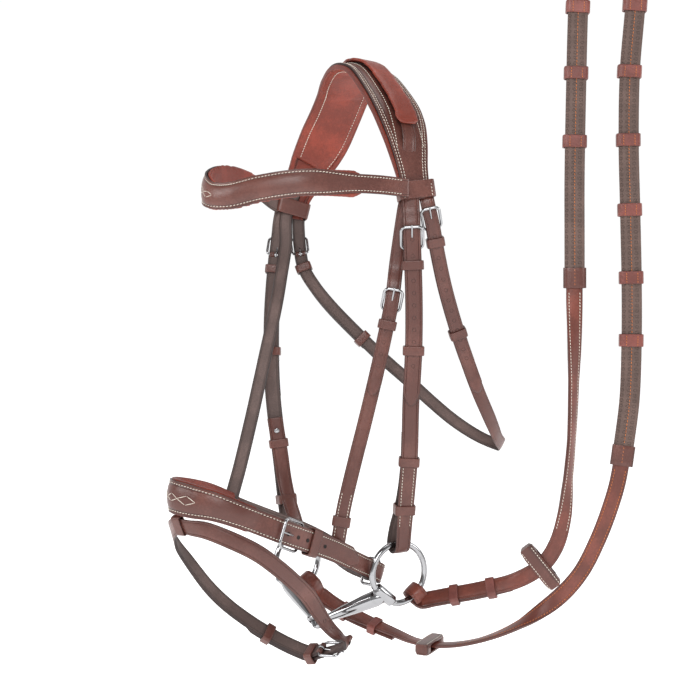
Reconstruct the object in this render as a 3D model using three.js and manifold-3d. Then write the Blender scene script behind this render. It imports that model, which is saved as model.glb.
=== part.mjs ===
// Snaffle bridle: padded headpiece and browband, crank noseband with a flash strap, single-jointed
// eggbutt bit and a pair of rubber-covered reins. Millimetres, +Z up. The horse's nose points along
// -Y and its left, the near side, is +X. The origin is the middle of the headpiece's underside,
// where the bridle sits on the poll and hangs from it.
import * as THREE from "three";
import { mergeVertices } from "three/addons/utils/BufferGeometryUtils.js";
import Module from "manifold-3d";

// Driving dimensions
const GAP = 0.4; // air between touching pieces
const LEATHER = 2.6; // thickness of a bridle strap
const CHEEK_WIDTH = 16; // cheekpieces and the billets that feed them
const SLIM_WIDTH = 13; // sliphead, noseband hangers and throatlash
const FLASH_WIDTH = 15;
const NOSE_WIDTH = 30; // padded front of the noseband
const NOSE_END_WIDTH = 22; // its billet and the crank strap
const BROW_WIDTH = 25;
const BROW_END_WIDTH = 18;
const CROWN_WIDTH = 56; // headpiece over the poll
const CROWN_END_WIDTH = 29; // headpiece where it is split into its billets
const REIN_WIDTH = 15;
const GRIP_WIDTH = 19;
const GRIP_THICKNESS = 5.5;
const BAR = 1.4; // radius of a buckle's wire
const FRAME_REACH = 21; // from a buckle's bar to the free end of its frame
const RING_RADIUS = 30.5; // bit ring, to the middle of its wire
const RING_WIRE = 3.2;
const BARREL_CHORD = 26.4; // from a ring's centre to its straight eggbutt side
const EYE_RADIUS = 6.5; // eyes that link the two halves of the mouthpiece
const EYE_WIRE = 2.2;
const SLIP_LIFT = 3.7; // height of the sliphead over the middle of the crown's leather
const LOOP_PLAY = 3.9; // slack of the leather loops round a bit ring

const NEAR_FACE = [0.79, -0.62, 0]; // the way the near side straps face
const OFF_FACE = [-0.79, 0.62, 0];

const wasm = await Module();
wasm.setup();

const vec = (p) => new THREE.Vector3(...p);
const clamp = THREE.MathUtils.clamp;
const degrees = THREE.MathUtils.degToRad;

// ---- Solids ----------------------------------------------------------------------------------

function toSolid(geometry) {
  const bare = geometry.clone();
  bare.deleteAttribute("normal");
  bare.deleteAttribute("uv");
  const merged = mergeVertices(bare, 1e-4);
  return new wasm.Manifold(
    new wasm.Mesh({
      numProp: 3,
      vertProperties: merged.attributes.position.array,
      triVerts: new Uint32Array(merged.index.array),
    }),
  );
}

function toGeometry(solid) {
  const mesh = solid.getMesh();
  const positions = new Float32Array(mesh.numVert * 3);
  for (let i = 0; i < mesh.numVert; i++) {
    positions.set(mesh.vertProperties.subarray(i * mesh.numProp, i * mesh.numProp + 3), i * 3);
  }
  const geometry = new THREE.BufferGeometry();
  geometry.setAttribute("position", new THREE.BufferAttribute(positions, 3));
  geometry.setIndex(new THREE.BufferAttribute(mesh.triVerts, 1));
  geometry.computeVertexNormals();
  return geometry;
}

const join = (...pieces) => toGeometry(pieces.map(toSolid).reduce((a, b) => a.add(b)));
const cut = (piece, ...tools) =>
  toGeometry(tools.map(toSolid).reduce((a, b) => a.subtract(b), toSolid(piece)));

// ---- Lines that straps follow ----------------------------------------------------------------

// A line is a smooth curve through its points, with the way a strap laid on it faces at each point.
// at(s) gives the place, the direction along, the outward face and the direction across at s mm.
function line(points, faces) {
  const curve = new THREE.CatmullRomCurve3(points.map(vec));
  const spans = points.length - 1;
  const steps = 40;
  curve.arcLengthDivisions = steps * spans;
  const lengths = curve.getLengths();
  const length = lengths[lengths.length - 1];
  const marks = points.map((p, i) => lengths[i * steps]);
  const facing = points.map((p, i) => vec(Array.isArray(faces[0]) ? faces[i] : faces).normalize());
  const at = (s) => {
    const reach = clamp(s, 0, length);
    const span = clamp(marks.findIndex((m) => m > reach) - 1, 0, spans - 1);
    const last = reach >= length ? spans - 1 : span;
    const share = (reach - marks[last]) / (marks[last + 1] - marks[last]);
    const along = curve.getTangentAt(reach / length);
    const place = curve.getPointAt(reach / length).addScaledVector(along, s - reach);
    const face = facing[last].clone().lerp(facing[last + 1], share);
    const out = face.addScaledVector(along, -face.dot(along)).normalize();
    return { place, along, out, across: out.clone().cross(along) };
  };
  return { length, at };
}

// The same line walked the other way, its outside kept outside.
function reversed(path) {
  const at = (s) => {
    const { place, along, out, across } = path.at(path.length - s);
    return { place, along: along.negate(), out, across: across.negate() };
  };
  return { length: path.length, at };
}

// Distance along a line at which a coordinate ("x", "y" or "z") first passes a value.
function reach(path, axis, value, start = 0) {
  const side = Math.sign(path.at(start).place[axis] - value);
  for (let s = start; s < path.length; s += 0.5) {
    if (Math.sign(path.at(s).place[axis] - value) !== side) return s;
  }
  return path.length;
}

// A point given along, across and out of a line at s.
function spot(path, s, along, across, out) {
  const f = path.at(s);
  return f.place
    .clone()
    .addScaledVector(f.along, along)
    .addScaledVector(f.across, across)
    .addScaledVector(f.out, out);
}

// Turns a shape made along x, across y and out z to stand at s on a line.
function stand(geometry, path, s) {
  const f = path.at(s);
  const frame = new THREE.Matrix4().makeBasis(f.along, f.across, f.out).setPosition(f.place);
  return geometry.clone().applyMatrix4(frame);
}

const value = (v, s) => (typeof v === "function" ? v(s) : v);

// Eases from one value to another between two places on a line.
const ease = (s, s0, s1, a, b) => a + (b - a) * THREE.MathUtils.smoothstep(s, s0, s1);

// A flat strap laid on a line from one place to another. width, lift and thick may be functions of s.
function strap(path, { from = 0, to = path.length, width, thick = LEATHER, lift = 0, shift = 0, step = 14 }) {
  // Straps laid on one line share their stations, so layers bend in the same places.
  const stations = [from];
  for (let s = Math.ceil((from + 0.3 * step) / step) * step; s < to - 0.3 * step; s += step) stations.push(s);
  stations.push(to);
  const segments = stations.length - 1;
  const geometry = new THREE.BoxGeometry(1, 1, 1, segments, 1, 1);
  const position = geometry.attributes.position;
  for (let i = 0; i < position.count; i++) {
    const s = stations[Math.round((position.getX(i) + 0.5) * segments)];
    const across = position.getY(i) * value(width, s) + value(shift, s);
    const out = position.getZ(i) * value(thick, s) + value(lift, s);
    position.setXYZ(i, ...spot(path, s, 0, across, out).toArray());
  }
  return geometry;
}

// Width of a strap that ends in a point at its far end.
const pointed = (width, end) => (s) => width * clamp(0.3 + (end - s) / 16, 0.3, 1);

// A closed wire of round section that follows an outline in the xy plane.
function hoop(outline, wire, steps = 32, sides = 8) {
  const geometry = new THREE.TorusGeometry(1, 0.5, sides, steps);
  const position = geometry.attributes.position;
  const uv = geometry.attributes.uv;
  for (let i = 0; i < position.count; i++) {
    const u = uv.getX(i) % 1;
    const turn = (uv.getY(i) % 1) * 2 * Math.PI;
    const here = outline(u);
    const ahead = outline((u + 0.002) % 1).sub(outline((u + 0.998) % 1)).normalize();
    const swell = wire * Math.cos(turn);
    position.setXYZ(i, here.x + ahead.y * swell, here.y - ahead.x * swell, wire * Math.sin(turn));
  }
  return geometry;
}

const circle = (radius) => (u) =>
  new THREE.Vector2(Math.cos(u * 2 * Math.PI), Math.sin(u * 2 * Math.PI)).multiplyScalar(radius);

// Outline of a rounded rectangle, walked at an even pace with its corners as arcs.
function roundedBox(x0, x1, halfWidth, corner) {
  const path = new THREE.Path();
  const y1 = halfWidth;
  path.moveTo(x1, 0);
  path.lineTo(x1, y1 - corner).absarc(x1 - corner, y1 - corner, corner, 0, Math.PI / 2);
  path.lineTo(x0 + corner, y1).absarc(x0 + corner, y1 - corner, corner, Math.PI / 2, Math.PI);
  path.lineTo(x0, corner - y1).absarc(x0 + corner, corner - y1, corner, Math.PI, 1.5 * Math.PI);
  path.lineTo(x1 - corner, -y1).absarc(x1 - corner, corner - y1, corner, 1.5 * Math.PI, 2 * Math.PI);
  path.closePath();
  return (u) => path.getPointAt(u);
}

// A round rod between two points, with a radius at each end.
function rod(a, b, radiusA, radiusB = radiusA, sides = 10) {
  const span = b.clone().sub(a);
  const geometry = new THREE.CylinderGeometry(radiusB, radiusA, span.length(), sides);
  const turn = new THREE.Quaternion().setFromUnitVectors(new THREE.Vector3(0, 1, 0), span.normalize());
  geometry.applyQuaternion(turn);
  return geometry.translate(...a.clone().add(b).multiplyScalar(0.5).toArray());
}

const block = (x0, x1, y0, y1, z0, z1) =>
  new THREE.BoxGeometry(x1 - x0, y1 - y0, z1 - z0).translate((x0 + x1) / 2, (y0 + y1) / 2, (z0 + z1) / 2);

// ---- Leatherwork details ---------------------------------------------------------------------

const FOLD = BAR + GAP + 1.3; // half the thickness of a strap's fold round a bar
const OVER_BAR = FOLD + GAP + LEATHER / 2; // height of the billet that passes over the fold
const FRAME_RISE = OVER_BAR + LEATHER / 2 + GAP + BAR; // height of a frame's free end
const TONGUE = 1; // radius of a buckle's tongue

// The end of a strap folded round a buckle's bar, split in the middle for the tongue.
function foldedEnd(strapGeometry, path, s, width) {
  const halfWidth = width / 2 - 1;
  const roll = rod(new THREE.Vector3(0, -halfWidth, 0), new THREE.Vector3(0, halfWidth, 0), FOLD);
  const side = new THREE.Vector3(0, width, 0);
  const bore = rod(side.clone().negate(), side, BAR + GAP);
  const split = block(-6, 6, -1.9, 1.9, -6, 6);
  return cut(join(strapGeometry, stand(roll, path, s)), stand(bore, path, s), stand(split, path, s));
}

// The slot in a billet that the tongue passes through.
const tongueSlot = (path, s, far = -17) => stand(block(far, 4.5, -2.1, 2.1, 0, 12), path, s);

// A buckle's wire frame, its bar at s on the line and its free end raised over the billet.
function buckleFrame(path, s, width, long) {
  const outline = roundedBox(-Math.hypot(long, FRAME_RISE), 0, width / 2 + 1.2 + BAR, 2.6);
  return stand(hoop(outline, BAR, 18, 5).rotateY(Math.atan2(FRAME_RISE, long)), path, s);
}

// A buckle's tongue: an eye round the bar and a straight pin that rests over the frame's free end.
function buckleTongue(path, s, long) {
  const eye = hoop(circle(BAR + GAP + TONGUE), TONGUE, 10, 4).rotateX(Math.PI / 2);
  const tilt = Math.atan2(FRAME_RISE + BAR + GAP + TONGUE, long);
  const tip = new THREE.Vector3(-Math.cos(tilt), 0, Math.sin(tilt));
  const root = tip.clone().multiplyScalar(BAR + GAP + 1);
  return stand(join(eye, rod(root, tip.multiplyScalar(long + 5), TONGUE, 0.8, 6)), path, s);
}

// A leather keeper: a band round the strap and the billet over it.
function keeper(path, s, width, low, high, length = 9, wall = 1.8) {
  const inside = width / 2 + 0.8;
  const band = new THREE.Shape([
    new THREE.Vector2(-inside - wall, low - wall),
    new THREE.Vector2(inside + wall, low - wall),
    new THREE.Vector2(inside + wall, high + wall),
    new THREE.Vector2(-inside - wall, high + wall),
  ]);
  band.holes.push(
    new THREE.Path([
      new THREE.Vector2(-inside, low),
      new THREE.Vector2(-inside, high),
      new THREE.Vector2(inside, high),
      new THREE.Vector2(inside, low),
    ]),
  );
  const geometry = new THREE.ExtrudeGeometry(band, { depth: length, bevelEnabled: false });
  geometry.translate(0, 0, -length / 2);
  // The shape's x goes across, its y out and its depth along the line.
  const turn = new THREE.Matrix4().makeBasis(
    new THREE.Vector3(0, 1, 0),
    new THREE.Vector3(0, 0, 1),
    new THREE.Vector3(1, 0, 0),
  );
  return stand(geometry.applyMatrix4(turn), path, s);
}

// ---- Lines, chosen by hand ------------------------------------------------------------------

// Over the poll, from the off side to the near side.
const CROWN = line(
  [
    [-104, -14, -152],
    [-104, -11, -135],
    [-102, -4, -112],
    [-96, 8, -84],
    [-84, 17, -57],
    [-66, 20, -30],
    [-46, 17, -9.5],
    [-24, 8, 3.3],
    [0, 1, 7.3],
    [28, -3, -1.7],
    [56, -6, -26],
    [80, -9, -54],
    [94, -11, -82],
    [101, -11, -109],
    [105, -9, -135],
    [106, -7, -152],
  ],
  [
    [-0.9, 0.43, 0],
    [-0.9, 0.43, 0],
    [-0.9, 0.4, 0.15],
    [-0.85, 0.4, 0.35],
    [-0.75, 0.3, 0.6],
    [-0.6, 0.2, 0.8],
    [-0.4, 0.1, 0.9],
    [-0.2, 0, 1],
    [0.1, 0, 1],
    [0.4, 0, 0.9],
    [0.6, -0.05, 0.8],
    [0.8, -0.1, 0.6],
    [0.9, -0.2, 0.35],
    [0.95, -0.3, 0.15],
    [0.9, -0.43, 0],
    [0.9, -0.43, 0],
  ],
);

const NEAR_CHEEK = line(
  [
    [103, -16, -132],
    [104, -15, -149],
    [102, -12, -180],
    [98, -6, -241],
    [93, -2, -290],
    [87, 0, -340],
    [80, 4, -400],
    [73, 6, -440],
    [67, 8, -472],
    [64, 9, -489],
  ],
  [...Array(7).fill(NEAR_FACE), [0.88, -0.45, 0], [0.96, -0.27, 0], [0.98, -0.19, 0]],
);

const OFF_CHEEK = line(
  [
    [-107, -21, -132],
    [-108, -24, -149],
    [-106, -28, -167],
    [-104, -34, -201],
    [-100, -41, -257],
    [-96, -43, -323],
    [-93, -41, -362],
    [-89, -36, -411],
    [-83, -33, -466],
    [-79, -32, -491],
  ],
  [...Array(7).fill(OFF_FACE), [-0.9, 0.4, 0], [-0.97, 0.1, 0], [-0.995, -0.1, 0]],
);

// Round the throat, from the near side down, under and up the off side.
const THROAT = line(
  [
    [107, 0, -132],
    [107.5, 4, -149],
    [107, 11, -170],
    [105, 18, -191],
    [102, 32, -229],
    [97, 55, -275],
    [91, 75, -305],
    [84, 96, -333],
    [73, 124, -363],
    [60, 150, -387],
    [47, 168, -396],
    [33, 150, -387],
    [16, 127, -369],
    [0, 106, -347],
    [-16, 88, -325],
    [-36, 66, -299],
    [-54, 46, -273],
    [-70, 20, -242],
    [-82, 7, -221],
    [-93, -2, -198],
    [-99, -3, -177],
    [-102, -3, -155],
    [-102, -3, -132],
  ],
  [
    NEAR_FACE,
    NEAR_FACE,
    NEAR_FACE,
    NEAR_FACE,
    NEAR_FACE,
    NEAR_FACE,
    [0.8, -0.58, -0.1],
    [0.8, -0.5, -0.25],
    [0.85, -0.25, -0.4],
    [0.75, 0.45, -0.5],
    [0, 0.85, -0.5],
    [-0.4, 0.75, -0.5],
    [-0.5, 0.7, -0.4],
    [-0.55, 0.7, -0.4],
    [-0.6, 0.7, -0.35],
    [-0.65, 0.7, -0.3],
    [-0.7, 0.65, -0.25],
    [-0.75, 0.6, -0.2],
    OFF_FACE,
    OFF_FACE,
    OFF_FACE,
    OFF_FACE,
    OFF_FACE,
  ],
);
const OFF_THROAT = reversed(THROAT);

const NEAR_HANGER_POINTS = [
  [97.5, -14, -137],
  [95.5, -16, -153],
  [84.6, -16.2, -201],
  [83, -22, -244],
  [78, -26, -275],
  [72, -34, -320],
  [67, -43, -362],
  [62, -53, -405],
  [57, -61, -445],
  [54, -65, -474],
];
const NEAR_HANGER = line(NEAR_HANGER_POINTS, NEAR_FACE);

// The sliphead runs up the off side, over the crown under its centre pad and down the near side.
const slipUp = reach(CROWN, "z", -86);
const slipDown = reach(CROWN, "z", -82, CROWN.length / 2);
const crownSpots = [0, 0.1, 0.2, 0.3, 0.4, 0.5, 0.6, 0.7, 0.8, 0.9, 1].map((share) => {
  const f = CROWN.at(slipUp + share * (slipDown - slipUp));
  return [f.place.addScaledVector(f.out, SLIP_LIFT).toArray(), f.out.toArray()];
});
const SLIPHEAD = line(
  [
    [-59, -113, -427],
    [-62, -107, -415],
    [-70, -87, -364],
    [-76, -69, -311],
    [-83, -46, -240],
    [-88, -36, -207],
    [-95, -25, -172],
    [-101.5, -20, -141],
    [-99.5, -11.5, -118],
    ...crownSpots.map((c) => c[0]),
    [97.5, -13, -102],
    [96.5, -14.5, -118],
    ...NEAR_HANGER_POINTS,
  ],
  [
    ...Array(8).fill(OFF_FACE),
    [-0.9, 0.43, 0],
    ...crownSpots.map((c) => c[1]),
    [0.95, -0.25, 0.2],
    [0.9, -0.43, 0],
    ...NEAR_HANGER_POINTS.map(() => NEAR_FACE),
  ],
);

// Browband and noseband run from the off side round the front to the near side.
const BROW = line(
  [
    [-109, 4, -132],
    [-108, -8, -131],
    [-104, -32, -127],
    [-90, -65, -117],
    [-70, -101, -113],
    [-40, -145, -118],
    [-16, -174, -131],
    [3, -181, -142],
    [24, -174, -145],
    [50, -154, -139],
    [74, -126, -134],
    [92, -87, -133],
    [104, -54, -133],
    [111, -22, -134],
    [114, -5, -133],
  ],
  [
    [-1, -0.05, 0],
    [-1, -0.1, 0],
    [-0.95, -0.3, 0],
    [-0.9, -0.45, 0],
    [-0.85, -0.5, 0],
    [-0.8, -0.6, 0],
    [-0.6, -0.8, 0.1],
    [0.1, -1, 0.1],
    [0.6, -0.8, 0],
    [0.72, -0.7, 0],
    [0.82, -0.57, 0],
    [0.92, -0.4, 0],
    [0.96, -0.28, 0],
    [0.98, -0.2, 0],
    [0.98, -0.2, 0],
  ],
);

const NOSE = line(
  [
    [27, 0, -519],
    [5, 8, -521],
    [-20, 8, -518],
    [-42, -4, -503],
    [-54, -28, -488],
    [-60, -66, -472],
    [-59, -106, -456],
    [-52, -142, -443],
    [-38, -178, -433],
    [-20, -208, -427],
    [3, -220, -426],
    [24, -213, -429],
    [41, -199, -433],
    [52, -180, -441],
    [58, -155, -452],
    [60, -130, -463],
    [58, -104, -473],
    [54, -74, -485],
    [48, -46, -498],
    [42, -22, -509],
    [37, -4, -518],
  ],
  [
    [0.1, 1, -0.2],
    [-0.1, 1, -0.2],
    [-0.5, 0.85, -0.2],
    [-0.85, 0.5, -0.1],
    [-0.97, 0.2, 0],
    [-1, 0, 0],
    [-1, -0.1, 0],
    [-0.9, -0.4, 0],
    [-0.8, -0.6, 0],
    [-0.5, -0.85, 0],
    [-0.05, -1, 0.1],
    [0.4, -0.9, 0.1],
    [0.75, -0.65, 0],
    [0.9, -0.4, 0],
    [0.97, -0.2, 0],
    [0.99, 0, 0],
    [0.98, 0.1, 0],
    [0.97, 0.15, 0],
    [0.96, 0.18, 0],
    [0.95, 0.2, 0],
    [0.95, 0.2, 0],
  ],
);

// The flash strap from its buckle's bar along the off side, round the front and down the near side.
const FLASH_ROUND = [
  [16, -56, -592],
  [0, -61, -598],
  [-20, -72, -593],
  [-36, -91, -580],
  [-44, -108, -567],
  [-47, -130, -549],
  [-46, -151, -529],
  [-38, -179, -498],
  [-26, -200, -476],
  [-12, -212, -460],
  [3, -215, -453.6],
  [16, -209, -454.6],
  [30, -201, -456],
  [45, -183, -465],
  [53, -160, -478],
  [54, -138, -494],
  [50, -115, -512],
  [44, -94, -530],
  [40, -80, -547],
  [38, -68, -562],
  [42, -58, -573],
  [49, -49, -580],
];
const FLASH_FACES = [
  [-0.3, 0.3, -0.9],
  [-0.4, 0.35, -0.85],
  [-0.5, 0.35, -0.8],
  [-0.65, 0.3, -0.7],
  [-0.7, 0.25, -0.65],
  [-0.75, 0.2, -0.6],
  [-0.85, 0, -0.5],
  [-0.85, -0.3, -0.4],
  [-0.75, -0.6, -0.4],
  [-0.4, -0.85, -0.45],
  [0.1, -0.9, -0.45],
  [0.4, -0.85, -0.3],
  [0.65, -0.75, 0],
  [0.8, -0.6, 0.1],
  [0.8, -0.55, 0.1],
  [0.82, -0.5, 0],
  [0.85, -0.45, 0],
  [0.88, -0.4, 0],
  [0.92, -0.1, 0],
  [0.9, 0.3, 0],
  [0.75, 0.6, -0.1],
  [0.5, 0.7, -0.5],
];
const FLASH_BASE = line(FLASH_ROUND, FLASH_FACES);
const FLASH_BAR = 2;
// Its billet turns back through the buckle and lies along the outside of the strap.
const flashTail = [
  [-28, 3],
  [-17, 4],
  [-8, OVER_BAR],
  [2, OVER_BAR],
  [16, OVER_BAR],
  [30, 3.8],
  [45, 3.6],
  [60, 3.6],
  [75, 3.6],
  [92, 3.6],
];
const FLASH = line(
  [...FLASH_ROUND, ...flashTail.map(([s, lift]) => spot(FLASH_BASE, FLASH_BAR + s, 0, 0, lift).toArray())],
  [...FLASH_FACES, ...flashTail.map(([s]) => FLASH_BASE.at(FLASH_BAR + s).out.toArray())],
);

// Each rein starts behind its bit ring, swings down and back, and rises to where it is hung up.
const NEAR_REIN = line(
  [
    [71, 30, -545],
    [91, 42, -539],
    [122, 66, -530],
    [146, 86, -521],
    [167, 102, -504],
    [178, 110, -484],
    [184, 115, -456],
    [187, 118, -418],
    [189, 121, -379],
    [190, 123, -320],
    [190, 124, -241],
    [190, 124, -181],
    [190, 124, -122],
    [190, 126, -42],
    [190, 130, 57],
    [191, 132, 85],
    [194, 136, 112],
    [202, 146, 132],
    [214, 161, 138],
  ],
  [
    [0.55, -0.4, 0.7],
    [0.55, -0.4, 0.7],
    [0.6, -0.45, 0.6],
    [0.7, -0.5, 0.4],
    NEAR_FACE,
    NEAR_FACE,
    [0.9, -0.35, 0],
    [1, 0.2, 0],
    [1, 0.3, 0],
    [1, 0.1, 0],
    NEAR_FACE,
    NEAR_FACE,
    NEAR_FACE,
    NEAR_FACE,
    NEAR_FACE,
    [0.12, -1, 0],
    [-0.62, -0.79, 0],
    [-0.5, -0.6, 0.6],
    [0, 0, 1],
  ],
);

const OFF_REIN = line(
  [
    [-63, -1, -558],
    [-51, 5, -566],
    [-31, 14, -575],
    [-7, 25, -583],
    [20, 37, -591],
    [40, 45, -596],
    [67, 58, -597],
    [103, 77, -588],
    [141, 99, -567],
    [170, 120, -540],
    [189, 134, -512],
    [202, 145, -478],
    [212, 153, -443],
    [217, 158, -417],
    [221, 162, -379],
    [224, 166, -339],
    [225, 168, -280],
    [225, 168, -221],
    [224, 167, -151],
    [223, 166, -82],
    [223, 168, -13],
    [226, 173, 57],
    [226, 173, 85],
    [225, 172, 112],
    [221, 168, 128],
  ],
  [
    [0.6, -0.4, 0.7],
    [0.6, -0.4, 0.7],
    [0.5, -0.35, 0.8],
    [0.3, -0.2, 0.9],
    [0.1, -0.1, 1],
    [0, 0, 1],
    [0, 0, 1],
    [0, 0, 1],
    [0.3, -0.1, 0.9],
    [0.7, -0.4, 0.5],
    ...Array(12).fill(NEAR_FACE),
    [1, 0.1, 0],
    [0.62, 0.79, 0],
    [0.5, 0.6, 0.5],
  ],
);

// ---- The assembly ---------------------------------------------------------------------------

const finish = (color, roughness, metalness = 0) =>
  new THREE.MeshStandardMaterial({ color, roughness, metalness });
const GRAIN = finish(0x5e3530, 0.5);
const LINING = finish(0x8e3a28, 0.5);
const KEEPER = finish(0x7a3d33, 0.5);
const STEEL = finish(0xc9ccd0, 0.15, 1);
const RUBBER = finish(0x665850, 0.8);

const bridle = new THREE.Group();
function add(group, name, geometry, material) {
  const mesh = new THREE.Mesh(geometry, material);
  mesh.name = name;
  group.add(mesh);
}

// A buckle on a line with its bar at s: frame and tongue as separate pieces.
function addBuckle(group, name, path, s, width, long = FRAME_REACH) {
  add(group, name + "_buckle_frame", buckleFrame(path, s, width, long), STEEL);
  add(group, name + "_buckle_tongue", buckleTongue(path, s, long), STEEL);
}

const BILLET_LIFT = OVER_BAR;
const BILLET_LOW = -LEATHER / 2 - 0.7; // inside of a keeper below the strap
const BILLET_HIGH = BILLET_LIFT + LEATHER / 2 + 0.7; // and above the billet

// -- Headpiece, browband and sliphead
const headstall = new THREE.Group();
bridle.add(headstall);

const crownMiddle = CROWN.length / 2;
const crownWidth = (s) => {
  const off = Math.abs(s - crownMiddle) / crownMiddle;
  return CROWN_END_WIDTH + (CROWN_WIDTH - CROWN_END_WIDTH) * (1 - THREE.MathUtils.smoothstep(off, 0.45, 0.9));
};
const nearBar = reach(NEAR_CHEEK, "z", -191);
const offBar = reach(OFF_CHEEK, "z", -184);
const nearThroatBar = reach(THROAT, "z", -170);
const offThroatBar = reach(OFF_THROAT, "z", -182);

// A billet leaves the crown flat, then rises over the buckle's bar and runs to its point.
function billet(path, bar, end, width) {
  const lift = (s) => ease(s, bar - 40, bar - 24, 0, BILLET_LIFT);
  const whole = strap(path, { from: 6, to: end, width: pointed(width, end), lift, step: 12 });
  return cut(whole, tongueSlot(path, bar));
}
const billets = [
  billet(NEAR_CHEEK, nearBar, reach(NEAR_CHEEK, "z", -343), CHEEK_WIDTH),
  billet(OFF_CHEEK, offBar, reach(OFF_CHEEK, "z", -352), CHEEK_WIDTH),
  billet(THROAT, nearThroatBar, reach(THROAT, "z", -331), SLIM_WIDTH),
  billet(OFF_THROAT, offThroatBar, reach(OFF_THROAT, "z", -250), SLIM_WIDTH),
];
// Slots in the crown where the sliphead dives from its outside to its inside.
const nearSlot = stand(block(-22, 20, -11, 8, -9, 9), CROWN, reach(CROWN, "z", -104, crownMiddle));
const offSlot = stand(block(-20, 22, -9, 9, -9, 9), CROWN, reach(CROWN, "z", -106, 0));
const crown = strap(CROWN, { width: crownWidth, step: 12 });
add(headstall, "headpiece", cut(join(crown, ...billets), nearSlot, offSlot), GRAIN);

const PAD_THICKNESS = 4.5;
const padFrom = reach(CROWN, "z", -84);
const padTo = reach(CROWN, "z", -80, crownMiddle);
add(
  headstall,
  "headpiece_pad",
  strap(CROWN, {
    from: padFrom,
    to: padTo,
    width: crownWidth,
    thick: PAD_THICKNESS,
    lift: -LEATHER / 2 - 1.5 - PAD_THICKNESS / 2,
    step: 12,
  }),
  LINING,
);
add(
  headstall,
  "headpiece_centre_pad",
  strap(CROWN, {
    from: reach(CROWN, "z", -60),
    to: reach(CROWN, "z", -74, crownMiddle),
    width: 26,
    thick: 3.5,
    lift: SLIP_LIFT + LEATHER / 2 + 2.4,
    step: 12,
  }),
  LINING,
);

add(
  headstall,
  "browband",
  strap(BROW, {
    from: reach(BROW, "y", -33),
    to: reach(BROW, "y", -30, BROW.length / 2),
    width: (s) => ease(Math.abs(s - BROW.length / 2), 110, 160, BROW_WIDTH, BROW_END_WIDTH),
    thick: 5,
    lift: 1,
    step: 12,
  }),
  GRAIN,
);
add(
  headstall,
  "browband_pad",
  strap(BROW, {
    from: 60,
    to: BROW.length - 60,
    width: BROW_WIDTH + 2,
    thick: 4,
    lift: -4.1,
    step: 12,
  }),
  LINING,
);
// The browband's ends are loops round the crown and the sliphead.
const browLoop = (s) => keeper(CROWN, s, CROWN_END_WIDTH + 3.6, -9.5, 5.2, BROW_END_WIDTH, 2);
add(headstall, "near_browband_loop", browLoop(reach(CROWN, "z", -134, crownMiddle)), GRAIN);
add(headstall, "off_browband_loop", browLoop(reach(CROWN, "z", -131.5, 0)), GRAIN);

// -- Cheekpieces, hung on the headpiece billets and looped round the bit rings
const cheeks = new THREE.Group();
bridle.add(cheeks);

const WRAP = RING_WIRE + LOOP_PLAY + LEATHER / 2; // middle of the leather loop round a ring's wire

// A cheekpiece runs down from its buckle, round the ring's wire and back up to its hook stud.
function cheekpiece(path, bar, backTo) {
  const end = path.length;
  const f = path.at(end);
  const wire = f.place.clone().addScaledVector(f.out, -WRAP);
  const turn = [];
  for (let angle = 30; angle <= 150; angle += 30) {
    turn.push(
      wire
        .clone()
        .addScaledVector(f.out, WRAP * Math.cos(degrees(angle)))
        .addScaledVector(f.along, WRAP * Math.sin(degrees(angle)))
        .toArray(),
    );
  }
  const front = [];
  for (let s = bar; s < end - 12; s += 24) front.push(s);
  front.push(end);
  const back = [
    [0, 2 * WRAP],
    [14, 1.9 * WRAP],
    [34, 1.3 * WRAP],
    [60, 5],
    [85, 4.4],
    [backTo, 4.4],
  ];
  const faces = [
    ...front.map((s) => path.at(s).out.toArray()),
    ...[30, 60, 90, 120, 150].map((angle) =>
      f.out
        .clone()
        .multiplyScalar(Math.cos(degrees(angle)))
        .addScaledVector(f.along, Math.sin(degrees(angle)))
        .toArray(),
    ),
    ...back.map(([up]) => path.at(end - up).out.negate().toArray()),
  ];
  const frontPoints = front.map((s) => path.at(s).place.toArray());
  const backPoints = back.map(([up, depth]) => spot(path, end - up, 0, 0, -depth).toArray());
  const route = line([...frontPoints, ...turn, ...backPoints], faces);
  const body = strap(route, { width: (s) => (s < 14 ? CHEEK_WIDTH - 2 : CHEEK_WIDTH), step: 9 });
  return foldedEnd(body, path, bar, CHEEK_WIDTH);
}
add(cheeks, "near_cheekpiece", cheekpiece(NEAR_CHEEK, nearBar, 118), GRAIN);
add(cheeks, "off_cheekpiece", cheekpiece(OFF_CHEEK, offBar, 128), GRAIN);
addBuckle(cheeks, "near_cheek", NEAR_CHEEK, nearBar, CHEEK_WIDTH);
addBuckle(cheeks, "off_cheek", OFF_CHEEK, offBar, CHEEK_WIDTH);
const cheekKeeper = (path, z) =>
  keeper(path, reach(path, "z", z), CHEEK_WIDTH, BILLET_LOW, BILLET_HIGH);
add(cheeks, "near_cheek_fixed_keeper", cheekKeeper(NEAR_CHEEK, -207), KEEPER);
add(cheeks, "near_cheek_runner", cheekKeeper(NEAR_CHEEK, -290), KEEPER);
add(cheeks, "off_cheek_fixed_keeper", cheekKeeper(OFF_CHEEK, -200), KEEPER);
add(cheeks, "off_cheek_runner", cheekKeeper(OFF_CHEEK, -291), KEEPER);
// Loops that hold the hook-stud billet against the cheekpiece
const studKeeper = (path, z) => keeper(path, reach(path, "z", z), CHEEK_WIDTH, -6.5, 2);
add(cheeks, "near_stud_keeper", studKeeper(NEAR_CHEEK, -402), KEEPER);
add(cheeks, "off_stud_keeper", studKeeper(OFF_CHEEK, -392), KEEPER);

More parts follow.
